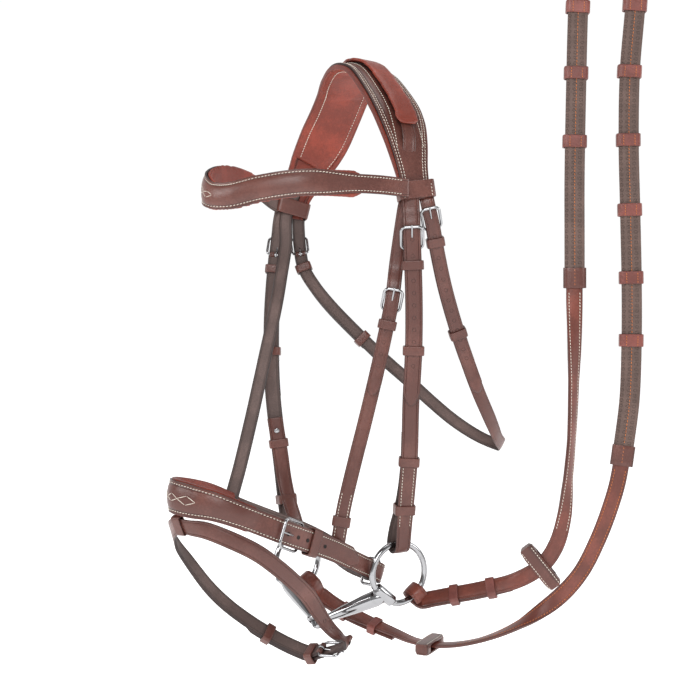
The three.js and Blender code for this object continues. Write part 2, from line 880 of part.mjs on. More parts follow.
// -- Throatlash
const throatlash = new THREE.Group();
bridle.add(throatlash);
const throatStrap = strap(THROAT, {
  from: nearThroatBar,
  to: THROAT.length - offThroatBar,
  width: (s) => {
    const fromEnd = Math.min(s - nearThroatBar, THROAT.length - offThroatBar - s);
    return fromEnd < 10 ? SLIM_WIDTH - 2 : SLIM_WIDTH;
  },
  step: 12,
});
add(
  throatlash,
  "throatlash",
  foldedEnd(foldedEnd(throatStrap, THROAT, nearThroatBar, SLIM_WIDTH), OFF_THROAT, offThroatBar, SLIM_WIDTH),
  GRAIN,
);
addBuckle(throatlash, "near_throatlash", THROAT, nearThroatBar, SLIM_WIDTH);
addBuckle(throatlash, "off_throatlash", OFF_THROAT, offThroatBar, SLIM_WIDTH);
const slimKeeper = (path, s) => keeper(path, s, SLIM_WIDTH, BILLET_LOW, BILLET_HIGH);
add(throatlash, "near_throatlash_keeper", slimKeeper(THROAT, reach(THROAT, "z", -183)), KEEPER);
add(throatlash, "near_throatlash_runner", slimKeeper(THROAT, reach(THROAT, "z", -272)), KEEPER);
add(throatlash, "off_throatlash_keeper", slimKeeper(OFF_THROAT, reach(OFF_THROAT, "z", -197)), KEEPER);

// -- Sliphead and noseband hanger
const hangers = new THREE.Group();
bridle.add(hangers);
const hangerBar = reach(NEAR_HANGER, "z", -251);
const slipBar = reach(SLIPHEAD, "z", -251, SLIPHEAD.length * 0.6);
const slipEnd = reach(SLIPHEAD, "z", -334, SLIPHEAD.length * 0.6);
const slipLift = (s) => ease(s, slipBar - 46, slipBar - 24, 0, BILLET_LIFT);
add(
  hangers,
  "sliphead",
  cut(
    strap(SLIPHEAD, { to: slipEnd, width: pointed(SLIM_WIDTH, slipEnd), lift: slipLift, step: 10 }),
    tongueSlot(NEAR_HANGER, hangerBar),
  ),
  GRAIN,
);
const hangerStrap = strap(NEAR_HANGER, {
  from: hangerBar,
  width: (s) => (s < hangerBar + 10 ? SLIM_WIDTH - 2 : SLIM_WIDTH),
});
add(hangers, "near_noseband_hanger", foldedEnd(hangerStrap, NEAR_HANGER, hangerBar, SLIM_WIDTH), GRAIN);
addBuckle(hangers, "hanger", NEAR_HANGER, hangerBar, SLIM_WIDTH);
add(hangers, "hanger_runner", slimKeeper(NEAR_HANGER, hangerBar + 14), KEEPER);

// -- Crank noseband: front strap, lining, crank strap and its roller ring
const noseband = new THREE.Group();
bridle.add(noseband);
const noseFront = reach(NOSE, "y", -205);
const noseBar = reach(NOSE, "y", -116, noseFront + 60);
const NOSE_REACH = 29;
const noseTip = reach(NOSE, "y", -40, noseBar);
const noseRise = (s) => ease(s, noseBar - 52, noseBar - 32, 0, BILLET_LIFT);
const noseWidth = (s) => {
  const off = Math.abs(s - NOSE.length * 0.5);
  return ease(off, 40, 115, NOSE_WIDTH, NOSE_END_WIDTH) * clamp(0.4 + (noseTip - s) / 18, 0.4, 1);
};
add(
  noseband,
  "noseband",
  cut(
    strap(NOSE, { from: 12, to: noseTip, width: noseWidth, lift: noseRise, step: 12 }),
    tongueSlot(NOSE, noseBar, -24),
  ),
  GRAIN,
);
add(
  noseband,
  "noseband_pad",
  strap(NOSE, {
    from: noseFront - 110,
    to: noseBar - 42,
    width: (s) => noseWidth(s) - 1,
    thick: 5,
    lift: -LEATHER / 2 - 3,
    step: 12,
  }),
  LINING,
);

// The ring stands across the end of the crank strap: an outer bar with a roller and an inner bar.
const ringFrame = NOSE.at(NOSE.length);
const ROLLER = 3.2;
const CRANK_DEPTH = 15; // from the ring's outer bar to its inner bar
const crankRing = hoop(roundedBox(-CRANK_DEPTH, 0, 13.5, 3), 1.6, 24, 6);
const ringStand = new THREE.Matrix4()
  .makeBasis(ringFrame.out, ringFrame.across, ringFrame.along.clone().negate())
  .setPosition(spot(NOSE, NOSE.length, 1, 0, 0));
add(noseband, "crank_ring", crankRing.applyMatrix4(ringStand), STEEL);
const rollerProfile = [
  [1.95, -10.5],
  [ROLLER, -10.5],
  [ROLLER, 10.5],
  [1.95, 10.5],
  [1.95, -10.5],
].map(([r, y]) => new THREE.Vector2(r, y));
add(noseband, "crank_roller", new THREE.LatheGeometry(rollerProfile, 12).applyMatrix4(ringStand), STEEL);

// The crank strap runs from the buckle back to the roller, round it and forward inside.
const rollerWrap = ROLLER + 1.1 + LEATHER / 2;
const crankPath = () => {
  const back = NOSE.length + 1;
  const stations = [noseBar, noseBar + 25, noseBar + 55, back - 28, back - 8];
  const outer = stations.map((s) => spot(NOSE, s, 0, 0, s > back - 20 ? rollerWrap - 1 : 0).toArray());
  const turn = [90, 45, 0, -45, -90].map((angle) =>
    spot(
      NOSE,
      NOSE.length,
      1 + rollerWrap * Math.cos(degrees(angle)),
      0,
      rollerWrap * Math.sin(degrees(angle)),
    ).toArray(),
  );
  const inner = [back - 12, back - 30, back - 52].map((s) => spot(NOSE, s, 0, 0, -rollerWrap).toArray());
  const outs = (list, sign) => list.map((s) => NOSE.at(s).out.multiplyScalar(sign).toArray());
  const turnFaces = [90, 45, 0, -45, -90].map((angle) =>
    ringFrame.out
      .clone()
      .multiplyScalar(Math.sin(degrees(angle)))
      .addScaledVector(ringFrame.along, Math.cos(degrees(angle)))
      .toArray(),
  );
  return line(
    [...outer, ...turn, ...inner],
    [...outs(stations, 1), ...turnFaces, ...outs([back - 12, back - 30, back - 52], -1)],
  );
};
const CRANK_WIDTH = 19;
const crankStrap = strap(crankPath(), { width: (s) => (s < 12 ? NOSE_END_WIDTH - 2 : CRANK_WIDTH), step: 6 });
add(noseband, "crank_strap", foldedEnd(crankStrap, NOSE, noseBar, NOSE_END_WIDTH), GRAIN);
addBuckle(noseband, "noseband", NOSE, noseBar, NOSE_END_WIDTH, NOSE_REACH);
add(
  noseband,
  "noseband_keeper",
  keeper(NOSE, noseBar + 15, NOSE_END_WIDTH, BILLET_LOW, BILLET_HIGH, 11),
  KEEPER,
);

// -- Flash strap, held to the front of the noseband by its loop
const flashGroup = new THREE.Group();
bridle.add(flashGroup);
const flashStrap = strap(FLASH, {
  from: FLASH_BAR,
  width: (s) => (s < 12 ? FLASH_WIDTH - 2 : pointed(FLASH_WIDTH, FLASH.length)(s)),
  step: 10,
});
const flashFolded = foldedEnd(flashStrap, FLASH, FLASH_BAR, FLASH_WIDTH);
add(flashGroup, "flash_strap", cut(flashFolded, tongueSlot(FLASH, FLASH_BAR)), GRAIN);
addBuckle(flashGroup, "flash", FLASH, FLASH_BAR, FLASH_WIDTH);
add(flashGroup, "flash_keeper", keeper(FLASH, 66, FLASH_WIDTH, -2.1, 6), KEEPER);
const flashFront = reach(FLASH, "x", 5, 60);
add(flashGroup, "flash_loop", keeper(FLASH, flashFront, FLASH_WIDTH + 2.2, -3, 2.8, 10, 1), KEEPER);

// -- Eggbutt snaffle bit
const bit = new THREE.Group();
bridle.add(bit);
const JOINT = vec([0, -52, -568]); // middle of the mouthpiece's centre joint
const RINGS = {
  near: { back: vec([0.19, 0.98, 0]), path: NEAR_CHEEK, hang: 90, barrel: -129 },
  off: { back: vec([-0.1, 0.995, 0]), path: OFF_CHEEK, hang: 100, barrel: -127 },
};
for (const [side, ring] of Object.entries(RINGS)) {
  ring.back.normalize();
  const up = new THREE.Vector3(0, 0, 1);
  const inPlane = (radius, angle) =>
    ring.back
      .clone()
      .multiplyScalar(radius * Math.cos(degrees(angle)))
      .addScaledVector(up, radius * Math.sin(degrees(angle)));
  ring.centre = spot(ring.path, ring.path.length, 0, 0, -WRAP).sub(inPlane(RING_RADIUS, ring.hang));
  ring.barrelCentre = ring.centre.clone().add(inPlane(BARREL_CHORD, ring.barrel));
  ring.barrelAxis = inPlane(1, ring.barrel + 90);
  // Round all the way but for the straight side that turns in the mouthpiece's barrel
  const outline = (u) => {
    const turn = (u * 360 + 540) % 360 - 180;
    const flat = (Math.acos(BARREL_CHORD / RING_RADIUS) * 180) / Math.PI;
    const radius = Math.abs(turn) < flat ? BARREL_CHORD / Math.cos(degrees(turn)) : RING_RADIUS;
    return new THREE.Vector2(Math.cos(degrees(turn)), Math.sin(degrees(turn))).multiplyScalar(radius);
  };
  const ringFrame = new THREE.Matrix4()
    .makeBasis(inPlane(1, ring.barrel), ring.barrelAxis, inPlane(1, ring.barrel).cross(ring.barrelAxis))
    .setPosition(ring.centre);
  add(bit, side + "_bit_ring", hoop(outline, RING_WIRE, 36, 8).applyMatrix4(ringFrame), STEEL);
}

const nearArm = RINGS.near.barrelCentre.clone().sub(JOINT).normalize();
const offArm = RINGS.off.barrelCentre.clone().sub(JOINT).normalize();
const linkLine = nearArm.clone().sub(offArm).normalize();
const foldAxis = nearArm.clone().cross(offArm).normalize();
const linkSide = foldAxis.clone().cross(linkLine);

// Half of the mouthpiece: a barrel round the ring's straight side, a tapered arm and its eye.
function mouthpiece(ring, linkSign, eyeAcross) {
  const half = ring.barrelAxis.clone().multiplyScalar(12);
  const barrel = rod(ring.barrelCentre.clone().sub(half), ring.barrelCentre.clone().add(half), 6.2, 6.2, 14);
  const eyeCentre = JOINT.clone().addScaledVector(linkLine, (linkSign * EYE_RADIUS) / 2);
  const reachOut = ring.barrelCentre.distanceTo(eyeCentre);
  const direction = ring.barrelCentre.clone().sub(eyeCentre).normalize();
  const profile = [
    [0, EYE_RADIUS - 1],
    [3.4, EYE_RADIUS - 1],
    [4.6, 14],
    [6.2, 32],
    [7.6, 52],
    [8.2, reachOut - 9],
    [6.5, reachOut],
    [0, reachOut],
  ].map(([r, y]) => new THREE.Vector2(r, y));
  const turn = new THREE.Quaternion().setFromUnitVectors(new THREE.Vector3(0, 1, 0), direction);
  const body = new THREE.LatheGeometry(profile, 12).applyQuaternion(turn).translate(...eyeCentre.toArray());
  const eyeFrame = new THREE.Matrix4()
    .makeBasis(linkLine, eyeAcross, linkLine.clone().cross(eyeAcross))
    .setPosition(eyeCentre);
  const eye = hoop(circle(EYE_RADIUS), EYE_WIRE, 20, 6).applyMatrix4(eyeFrame);
  const long = ring.barrelAxis.clone().multiplyScalar(20);
  const bore = rod(
    ring.barrelCentre.clone().sub(long),
    ring.barrelCentre.clone().add(long),
    RING_WIRE + GAP,
    RING_WIRE + GAP,
    16,
  );
  return cut(join(barrel, body, eye), bore);
}
add(bit, "near_mouthpiece_arm", mouthpiece(RINGS.near, 1, linkSide), STEEL);
add(bit, "off_mouthpiece_arm", mouthpiece(RINGS.off, -1, foldAxis), STEEL);

// -- Reins: a looped end, a leather stretch, and a rubber-covered grip with its leather top
const reins = new THREE.Group();
bridle.add(reins);

const REIN_WRAP = WRAP + 0.8;
// The end of a rein goes through the ring, round its wire and back under the rein to its tip.
function reinEnd(path, ring, angle, tip) {
  const tangent = ring.back.clone().multiplyScalar(-Math.sin(degrees(angle)));
  tangent.z += Math.cos(degrees(angle));
  const wire = ring.centre.clone().addScaledVector(ring.back, RING_RADIUS * Math.cos(degrees(angle)));
  wire.z += RING_RADIUS * Math.sin(degrees(angle));
  const start = path.at(0);
  const away = start.place.clone().sub(wire);
  away.addScaledVector(tangent, -away.dot(tangent)).normalize();
  const side = away.clone().cross(tangent);
  if (side.dot(start.out) < 0) side.negate();
  const beside = (sign, ahead) =>
    wire.clone().addScaledVector(side, sign * REIN_WRAP).addScaledVector(away, ahead).toArray();
  const turn = [];
  const faces = [];
  for (let a = 90; a <= 270; a += 30) {
    const out = side
      .clone()
      .multiplyScalar(Math.sin(degrees(a)))
      .addScaledVector(away, Math.cos(degrees(a)));
    turn.push(wire.clone().addScaledVector(out, REIN_WRAP).toArray());
    faces.push(out.toArray());
  }
  const under = [14, 34, 56, tip].map((s) => spot(path, s, 0, 0, -LEATHER - 1.5).toArray());
  const outs = [14, 34, 56, tip].map((s) => path.at(s).out.negate().toArray());
  const points = [start.place.toArray(), beside(1, 8), ...turn, beside(-1, 7), ...under];
  const route = line(points, [
    start.out.toArray(),
    side.toArray(),
    ...faces,
    side.clone().negate().toArray(),
    ...outs,
  ]);
  return strap(route, { from: 3, width: REIN_WIDTH - 1, step: 7 });
}
add(reins, "near_rein_end", reinEnd(NEAR_REIN, RINGS.near, -50, 92), GRAIN);
add(reins, "off_rein_end", reinEnd(OFF_REIN, RINGS.off, -60, 98), GRAIN);

const SLEEVE = 20; // leather sleeve over the lower end of the rubber
const GRIP_TOP = 72; // height at which the rubber ends
function rein(side, path, sleeveFrom, sleeveTo, top) {
  const gripTo = reach(path, "z", GRIP_TOP, sleeveTo + 20);
  add(reins, side + "_rein", strap(path, { from: 5, to: sleeveFrom - GAP, width: REIN_WIDTH, thick: 3.2 }), GRAIN);
  const sleeve = strap(path, { from: sleeveFrom, to: sleeveTo, width: GRIP_WIDTH + 2, thick: 7, step: 20 });
  const rubber = strap(path, {
    from: sleeveTo - 2,
    to: gripTo,
    width: GRIP_WIDTH,
    thick: GRIP_THICKNESS,
    step: 28,
  });
  add(reins, side + "_rein_grip", join(sleeve, rubber, top(gripTo)), RUBBER);
}
const nearSleeve = reach(NEAR_REIN, "z", -229, 200);
const offSleeve = reach(OFF_REIN, "z", -404, 300);
const NEAR_TOP = reversed(NEAR_REIN);
const reinBar = 3;
rein("near", NEAR_REIN, nearSleeve, nearSleeve + SLEEVE, (from) => {
  const width = (s) => (s > NEAR_REIN.length - 13 ? REIN_WIDTH - 2 : REIN_WIDTH);
  const leather = strap(NEAR_REIN, { from: from - 2, to: NEAR_REIN.length - reinBar, width, step: 8 });
  return foldedEnd(leather, NEAR_TOP, reinBar, REIN_WIDTH);
});
// The off rein's top is the billet: it passes through the centre buckle and down the near rein.
rein("off", OFF_REIN, offSleeve, offSleeve + SLEEVE, (from) => {
  const rise = [0, 0.3, 0.6, 0.95].map((share) => from - 4 + (OFF_REIN.length - from) * share);
  const over = [-24, -8, 8, 26, 48, 62];
  const path = line(
    [
      ...rise.map((s) => spot(OFF_REIN, s, 0, 0, 0).toArray()),
      ...over.map((s) => spot(NEAR_TOP, reinBar + s, 0, 0, s < -20 ? 2 : BILLET_LIFT).toArray()),
    ],
    [
      ...rise.map((s) => OFF_REIN.at(s).out.toArray()),
      ...over.map((s) => NEAR_TOP.at(reinBar + s).out.toArray()),
    ],
  );
  const leather = strap(path, { width: pointed(REIN_WIDTH, path.length), step: 7 });
  return cut(leather, tongueSlot(NEAR_TOP, reinBar));
});
addBuckle(reins, "rein", NEAR_TOP, reinBar, REIN_WIDTH);

// Rein stops: a stitched leather bar with a slot that the rein is threaded through.
function reinStop(path, s, angle) {
  const bar = block(-25, 25, -8, 8, -6, 6).rotateZ(degrees(angle));
  const slot = block(-30, 30, -REIN_WIDTH / 2 - 1.5, REIN_WIDTH / 2 + 1.5, -3.4, 3.4);
  return stand(cut(bar, slot), path, s);
}
add(reins, "near_rein_stop", reinStop(NEAR_REIN, reach(NEAR_REIN, "z", -505, 60), 85), KEEPER);
add(reins, "off_rein_stop", reinStop(OFF_REIN, 138, 90), KEEPER);

export default bridle;
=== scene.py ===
"""A snaffle bridle: padded headpiece and browband, crank noseband with a flash strap, a
single-jointed eggbutt bit and buckled reins with rubber grips. Metres, +Z up, the horse's nose
along -Y and its near side along +X. Leather parts follow Lines, whose points are in millimetres."""

import math

import bpy
import numpy as np
from mathutils import Matrix, Vector


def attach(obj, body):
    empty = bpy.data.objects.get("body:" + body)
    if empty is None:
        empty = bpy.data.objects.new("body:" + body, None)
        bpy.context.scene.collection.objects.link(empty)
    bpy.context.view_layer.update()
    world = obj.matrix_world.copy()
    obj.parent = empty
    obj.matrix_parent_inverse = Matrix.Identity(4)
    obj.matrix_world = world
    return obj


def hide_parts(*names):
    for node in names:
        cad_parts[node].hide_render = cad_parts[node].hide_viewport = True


bl_info = {
    "name": "Snaffle Bridle",
    "version": (1, 0, 0),
    "blender": (4, 5, 0),
    "location": "3D View > Sidebar > Bridle",
    "description": "Builds a snaffle bridle with its buckles, bit and reins",
    "category": "Add Mesh",
}

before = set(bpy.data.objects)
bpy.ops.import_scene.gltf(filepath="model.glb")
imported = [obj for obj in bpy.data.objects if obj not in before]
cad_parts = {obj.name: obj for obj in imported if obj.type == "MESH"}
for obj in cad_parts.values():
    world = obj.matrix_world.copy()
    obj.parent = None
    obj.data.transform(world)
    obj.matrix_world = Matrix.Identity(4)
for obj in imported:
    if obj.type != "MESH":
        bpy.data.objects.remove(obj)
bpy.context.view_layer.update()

MM = 0.001
LEATHER = 2.6
CHEEK_WIDTH = 16
SLIM_WIDTH = 13
FLASH_WIDTH = 15
NOSE_WIDTH = 30
NOSE_END_WIDTH = 22
BROW_WIDTH = 25
BROW_END_WIDTH = 18
CROWN_WIDTH = 56
CROWN_END_WIDTH = 29
REIN_WIDTH = 15
GRIP_WIDTH = 19
BAR = 1.4
GAP = 0.4
FOLD = BAR + GAP + 1.3
OVER_BAR = FOLD + GAP + LEATHER / 2
FRAME_RISE = OVER_BAR + LEATHER / 2 + GAP + BAR
SLIP_LIFT = 3.7
RING_RADIUS = 30.5
RING_WIRE = 3.2
BARREL_CHORD = 26.4
WRAP = 3.2 + 3.9 + LEATHER / 2
NEAR_FACE = [0.79, -0.62, 0]
OFF_FACE = [-0.79, 0.62, 0]


def unit(v):
    v = np.asarray(v, float)
    return v / np.maximum(np.linalg.norm(v, axis=-1, keepdims=True), 1e-12)


class Line:
    """A smooth line through given points, with the way the leather on it faces at each point."""

    def __init__(self, points, faces):
        points = np.array(points, float)
        if np.ndim(faces[0]) == 0:
            faces = [faces] * len(points)
        faces = unit(faces)
        padded = np.vstack([2 * points[0] - points[1], points, 2 * points[-1] - points[-2]])
        places, facing = [], []
        for i in range(len(points) - 1):
            a, b, c, d = padded[i : i + 4]
            da, db, dc = (max(np.linalg.norm(q) ** 0.5, 1e-4) for q in (b - a, c - b, d - c))
            leave = ((b - a) / da - (c - a) / (da + db) + (c - b) / db) * db
            arrive = ((c - b) / db - (d - b) / (db + dc) + (d - c) / dc) * db
            t = np.linspace(0, 1, 41)[:, None]
            if i < len(points) - 2:
                t = t[:-1]
            places.append(
                b + leave * t + (3 * (c - b) - 2 * leave - arrive) * t**2
                + (2 * (b - c) + leave + arrive) * t**3
            )
            facing.append(faces[i] * (1 - t) + faces[i + 1] * t)
        self.places = np.vstack(places)
        self.facing = np.vstack(facing)
        gaps = np.linalg.norm(np.diff(self.places, axis=0), axis=1)
        self.marks = np.concatenate([[0], np.cumsum(gaps)])
        self.length = self.marks[-1]
        self.tangents = unit(np.gradient(self.places, self.marks, axis=0))

    def at(self, s):
        """Place, along, out and across at s mm, as arrays."""
        s = np.atleast_1d(np.asarray(s, float))
        held = np.clip(s, 0, self.length)
        pick = lambda table: np.stack([np.interp(held, self.marks, table[:, k]) for k in range(3)], 1)
        along = unit(pick(self.tangents))
        place = pick(self.places) + along * (s - held)[:, None]
        face = pick(self.facing)
        out = unit(face - along * np.sum(face * along, axis=1, keepdims=True))
        return place, along, out, np.cross(out, along)

    def spot(self, s, along=0, across=0, out=0):
        p, a, o, c = (q[0] for q in self.at(s))
        return p + a * along + c * across + o * out

    def out(self, s):
        return self.at(s)[2][0]

    def back(self):
        """The same line walked the other way."""
        return Line(self.places[::-4], self.facing[::-4])

    def reach(self, axis, value, start=0.0):
        """How far along a coordinate first passes a value."""
        s = np.arange(start, self.length, 0.5)
        side = np.sign(self.at(s)[0][:, "xyz".index(axis)] - value)
        hits = np.nonzero(side != side[0])[0]
        return float(s[hits[0]]) if len(hits) else self.length

    def stand(self, s):
        """Matrix that stands a shape made along x, across y and out z at s, mm to metres."""
        p, a, o, c = (q[0] for q in self.at(s))
        m = Matrix.Identity(4)
        for k in range(3):
            m[k][0], m[k][1], m[k][2], m[k][3] = a[k] * MM, c[k] * MM, o[k] * MM, p[k] * MM
        return m


def ease(s, s0, s1, a, b):
    t = np.clip((np.asarray(s, float) - s0) / (s1 - s0), 0, 1)
    return a + (b - a) * t * t * (3 - 2 * t)


def pointed(width, end):
    return lambda s: width * np.clip(np.sqrt(np.clip((end - s) / 12, 0, 1)), 0.12, 1)


# ---- Routes ----
CROWN = Line(
    [
        [-104, -14, -152], [-104, -11, -135], [-102, -4, -112], [-96, 8, -84], [-84, 17, -57],
        [-66, 20, -30], [-46, 17, -9.5], [-24, 8, 3.3], [0, 1, 7.3], [28, -3, -1.7], [56, -6, -26],
        [80, -9, -54], [94, -11, -82], [101, -11, -109], [105, -9, -135], [106, -7, -152],
    ],
    [
        [-0.9, 0.43, 0], [-0.9, 0.43, 0], [-0.9, 0.4, 0.15], [-0.85, 0.4, 0.35], [-0.75, 0.3, 0.6],
        [-0.6, 0.2, 0.8], [-0.4, 0.1, 0.9], [-0.2, 0, 1], [0.1, 0, 1], [0.4, 0, 0.9], [0.6, -0.05, 0.8],
        [0.8, -0.1, 0.6], [0.9, -0.2, 0.35], [0.95, -0.3, 0.15], [0.9, -0.43, 0], [0.9, -0.43, 0],
    ],
)
NEAR_CHEEK = Line(
    [
        [103, -16, -132], [104, -15, -149], [102, -12, -180], [98, -6, -241], [93, -2, -290],
        [87, 0, -340], [80, 4, -400], [73, 6, -440], [67, 8, -472], [64, 9, -489],
    ],
    [*[NEAR_FACE] * 7, [0.88, -0.45, 0], [0.96, -0.27, 0], [0.98, -0.19, 0]],
)
OFF_CHEEK = Line(
    [
        [-107, -21, -132], [-108, -24, -149], [-106, -28, -167], [-104, -34, -201], [-100, -41, -257],
        [-96, -43, -323], [-93, -41, -362], [-89, -36, -411], [-83, -33, -466], [-79, -32, -491],
    ],
    [*[OFF_FACE] * 7, [-0.9, 0.4, 0], [-0.97, 0.1, 0], [-0.995, -0.1, 0]],
)
THROAT = Line(
    [
        [107, 0, -132], [107.5, 4, -149], [107, 11, -170], [105, 18, -191], [102, 32, -229],
        [97, 55, -275], [91, 75, -305], [84, 96, -333], [73, 124, -363], [60, 150, -387],
        [47, 168, -396], [33, 150, -387], [16, 127, -369], [0, 106, -347], [-16, 88, -325],
        [-36, 66, -299], [-54, 46, -273], [-70, 20, -242], [-82, 7, -221], [-93, -2, -198],
        [-99, -3, -177], [-102, -3, -155], [-102, -3, -132],
    ],
    [
        NEAR_FACE, NEAR_FACE, NEAR_FACE, NEAR_FACE, NEAR_FACE, NEAR_FACE, [0.8, -0.58, -0.1],
        [0.8, -0.5, -0.25], [0.85, -0.25, -0.4], [0.75, 0.45, -0.5], [0, 0.85, -0.5],
        [-0.4, 0.75, -0.5], [-0.5, 0.7, -0.4], [-0.55, 0.7, -0.4], [-0.6, 0.7, -0.35],
        [-0.65, 0.7, -0.3], [-0.7, 0.65, -0.25], [-0.75, 0.6, -0.2], OFF_FACE, OFF_FACE, OFF_FACE,
        OFF_FACE, OFF_FACE,
    ],
)
BROW = Line(
    [
        [-109, 4, -132], [-108, -8, -131], [-104, -32, -127], [-90, -65, -117], [-70, -101, -113],
        [-40, -145, -118], [-16, -174, -131], [3, -181, -142], [24, -174, -145], [50, -154, -139],
        [74, -126, -134], [92, -87, -133], [104, -54, -133], [111, -22, -134], [114, -5, -133],
    ],
    [
        [-1, -0.05, 0], [-1, -0.1, 0], [-0.95, -0.3, 0], [-0.9, -0.45, 0], [-0.85, -0.5, 0],
        [-0.8, -0.6, 0], [-0.6, -0.8, 0.1], [0.1, -1, 0.1], [0.6, -0.8, 0], [0.72, -0.7, 0],
        [0.82, -0.57, 0], [0.92, -0.4, 0], [0.96, -0.28, 0], [0.98, -0.2, 0], [0.98, -0.2, 0],
    ],
)
NOSE = Line(
    [
        [27, 0, -519], [5, 8, -521], [-20, 8, -518], [-42, -4, -503], [-54, -28, -488],
        [-60, -66, -472], [-59, -106, -456], [-52, -142, -443], [-38, -178, -433], [-20, -208, -427],
        [3, -220, -426], [24, -213, -429], [41, -199, -433], [52, -180, -441], [58, -155, -452],
        [60, -130, -463], [58, -104, -473], [54, -74, -485], [48, -46, -498], [42, -22, -509],
        [37, -4, -518],
    ],
    [
        [0.1, 1, -0.2], [-0.1, 1, -0.2], [-0.5, 0.85, -0.2], [-0.85, 0.5, -0.1], [-0.97, 0.2, 0],
        [-1, 0, 0], [-1, -0.1, 0], [-0.9, -0.4, 0], [-0.8, -0.6, 0], [-0.5, -0.85, 0], [-0.05, -1, 0.1],
        [0.4, -0.9, 0.1], [0.75, -0.65, 0], [0.9, -0.4, 0], [0.97, -0.2, 0], [0.99, 0, 0],
        [0.98, 0.1, 0], [0.97, 0.15, 0], [0.96, 0.18, 0], [0.95, 0.2, 0], [0.95, 0.2, 0],
    ],
)
NEAR_REIN = Line(
    [
        [71, 30, -545], [91, 42, -539], [122, 66, -530], [146, 86, -521], [167, 102, -504],
        [178, 110, -484], [184, 115, -456], [187, 118, -418], [189, 121, -379], [190, 123, -320],
        [190, 124, -241], [190, 124, -181], [190, 124, -122], [190, 126, -42], [190, 130, 57],
        [191, 132, 85], [194, 136, 112], [202, 146, 132], [214, 161, 138],
    ],
    [
        [0.55, -0.4, 0.7], [0.55, -0.4, 0.7], [0.6, -0.45, 0.6], [0.7, -0.5, 0.4], NEAR_FACE, NEAR_FACE,
        [0.9, -0.35, 0], [1, 0.2, 0], [1, 0.3, 0], [1, 0.1, 0], NEAR_FACE, NEAR_FACE, NEAR_FACE,
        NEAR_FACE, NEAR_FACE, [0.12, -1, 0], [-0.62, -0.79, 0], [-0.5, -0.6, 0.6], [0, 0, 1],
    ],
)
OFF_REIN = Line(
    [
        [-63, -1, -558], [-51, 5, -566], [-31, 14, -575], [-7, 25, -583], [20, 37, -591],
        [40, 45, -596], [67, 58, -597], [103, 77, -588], [141, 99, -567], [170, 120, -540],
        [189, 134, -512], [202, 145, -478], [212, 153, -443], [217, 158, -417], [221, 162, -379],
        [224, 166, -339], [225, 168, -280], [225, 168, -221], [224, 167, -151], [223, 166, -82],
        [223, 168, -13], [226, 173, 57], [226, 173, 85], [225, 172, 112], [221, 168, 128],
    ],
    [
        [0.6, -0.4, 0.7], [0.6, -0.4, 0.7], [0.5, -0.35, 0.8], [0.3, -0.2, 0.9], [0.1, -0.1, 1],
        [0, 0, 1], [0, 0, 1], [0, 0, 1], [0.3, -0.1, 0.9], [0.7, -0.4, 0.5], *[NEAR_FACE] * 12,
        [1, 0.1, 0], [0.62, 0.79, 0], [0.5, 0.6, 0.5],
    ],
)
FLASH_ROUND = [
    [16, -56, -592], [0, -61, -598], [-20, -72, -593], [-36, -91, -580], [-44, -108, -567],
    [-47, -130, -549], [-46, -151, -529], [-38, -179, -498], [-26, -200, -476], [-12, -212, -460],
    [3, -215, -453.6], [16, -209, -454.6], [30, -201, -456], [45, -183, -465], [53, -160, -478],
    [54, -138, -494], [50, -115, -512], [44, -94, -530], [40, -80, -547], [38, -68, -562],
    [42, -58, -573], [49, -49, -580],
]
FLASH_FACES = [
    [-0.3, 0.3, -0.9], [-0.4, 0.35, -0.85], [-0.5, 0.35, -0.8], [-0.65, 0.3, -0.7],
    [-0.7, 0.25, -0.65], [-0.75, 0.2, -0.6], [-0.85, 0, -0.5], [-0.85, -0.3, -0.4],
    [-0.75, -0.6, -0.4], [-0.4, -0.85, -0.45], [0.1, -0.9, -0.45], [0.4, -0.85, -0.3],
    [0.65, -0.75, 0], [0.8, -0.6, 0.1], [0.8, -0.55, 0.1], [0.82, -0.5, 0], [0.85, -0.45, 0],
    [0.88, -0.4, 0], [0.92, -0.1, 0], [0.9, 0.3, 0], [0.75, 0.6, -0.1], [0.5, 0.7, -0.5],
]
NEAR_HANGER_POINTS = [
    [97.5, -14, -137], [95.5, -16, -153], [84.6, -16.2, -201], [83, -22, -244], [78, -26, -275],
    [72, -34, -320], [67, -43, -362], [62, -53, -405], [57, -61, -445], [54, -65, -474],
]
NEAR_HANGER = Line(NEAR_HANGER_POINTS, NEAR_FACE)
OFF_THROAT = THROAT.back()
NEAR_TOP = NEAR_REIN.back()

crown_middle = CROWN.length / 2
slip_up = CROWN.reach("z", -86)
slip_down = CROWN.reach("z", -82, crown_middle)
over_crown = [slip_up + k / 10 * (slip_down - slip_up) for k in range(11)]
SLIPHEAD = Line(
    [
        [-59, -113, -427], [-62, -107, -415], [-70, -87, -364], [-76, -69, -311], [-83, -46, -240],
        [-88, -36, -207], [-95, -25, -172], [-101.5, -20, -141], [-99.5, -11.5, -118],
        *[CROWN.spot(s, out=SLIP_LIFT) for s in over_crown],
        [97.5, -13, -102], [96.5, -14.5, -118], *NEAR_HANGER_POINTS,
    ],
    [
        *[OFF_FACE] * 8, [-0.9, 0.43, 0], *[CROWN.out(s) for s in over_crown],
        [0.95, -0.25, 0.2], [0.9, -0.43, 0], *[NEAR_FACE] * len(NEAR_HANGER_POINTS),
    ],
)
FLASH_BASE = Line(FLASH_ROUND, FLASH_FACES)
FLASH_BAR = 2
FLASH_TAIL = [
    (-28, 3), (-17, 4), (-8, OVER_BAR), (2, OVER_BAR), (16, OVER_BAR), (30, 3.8), (45, 3.6),
    (60, 3.6), (75, 3.6), (92, 3.6),
]
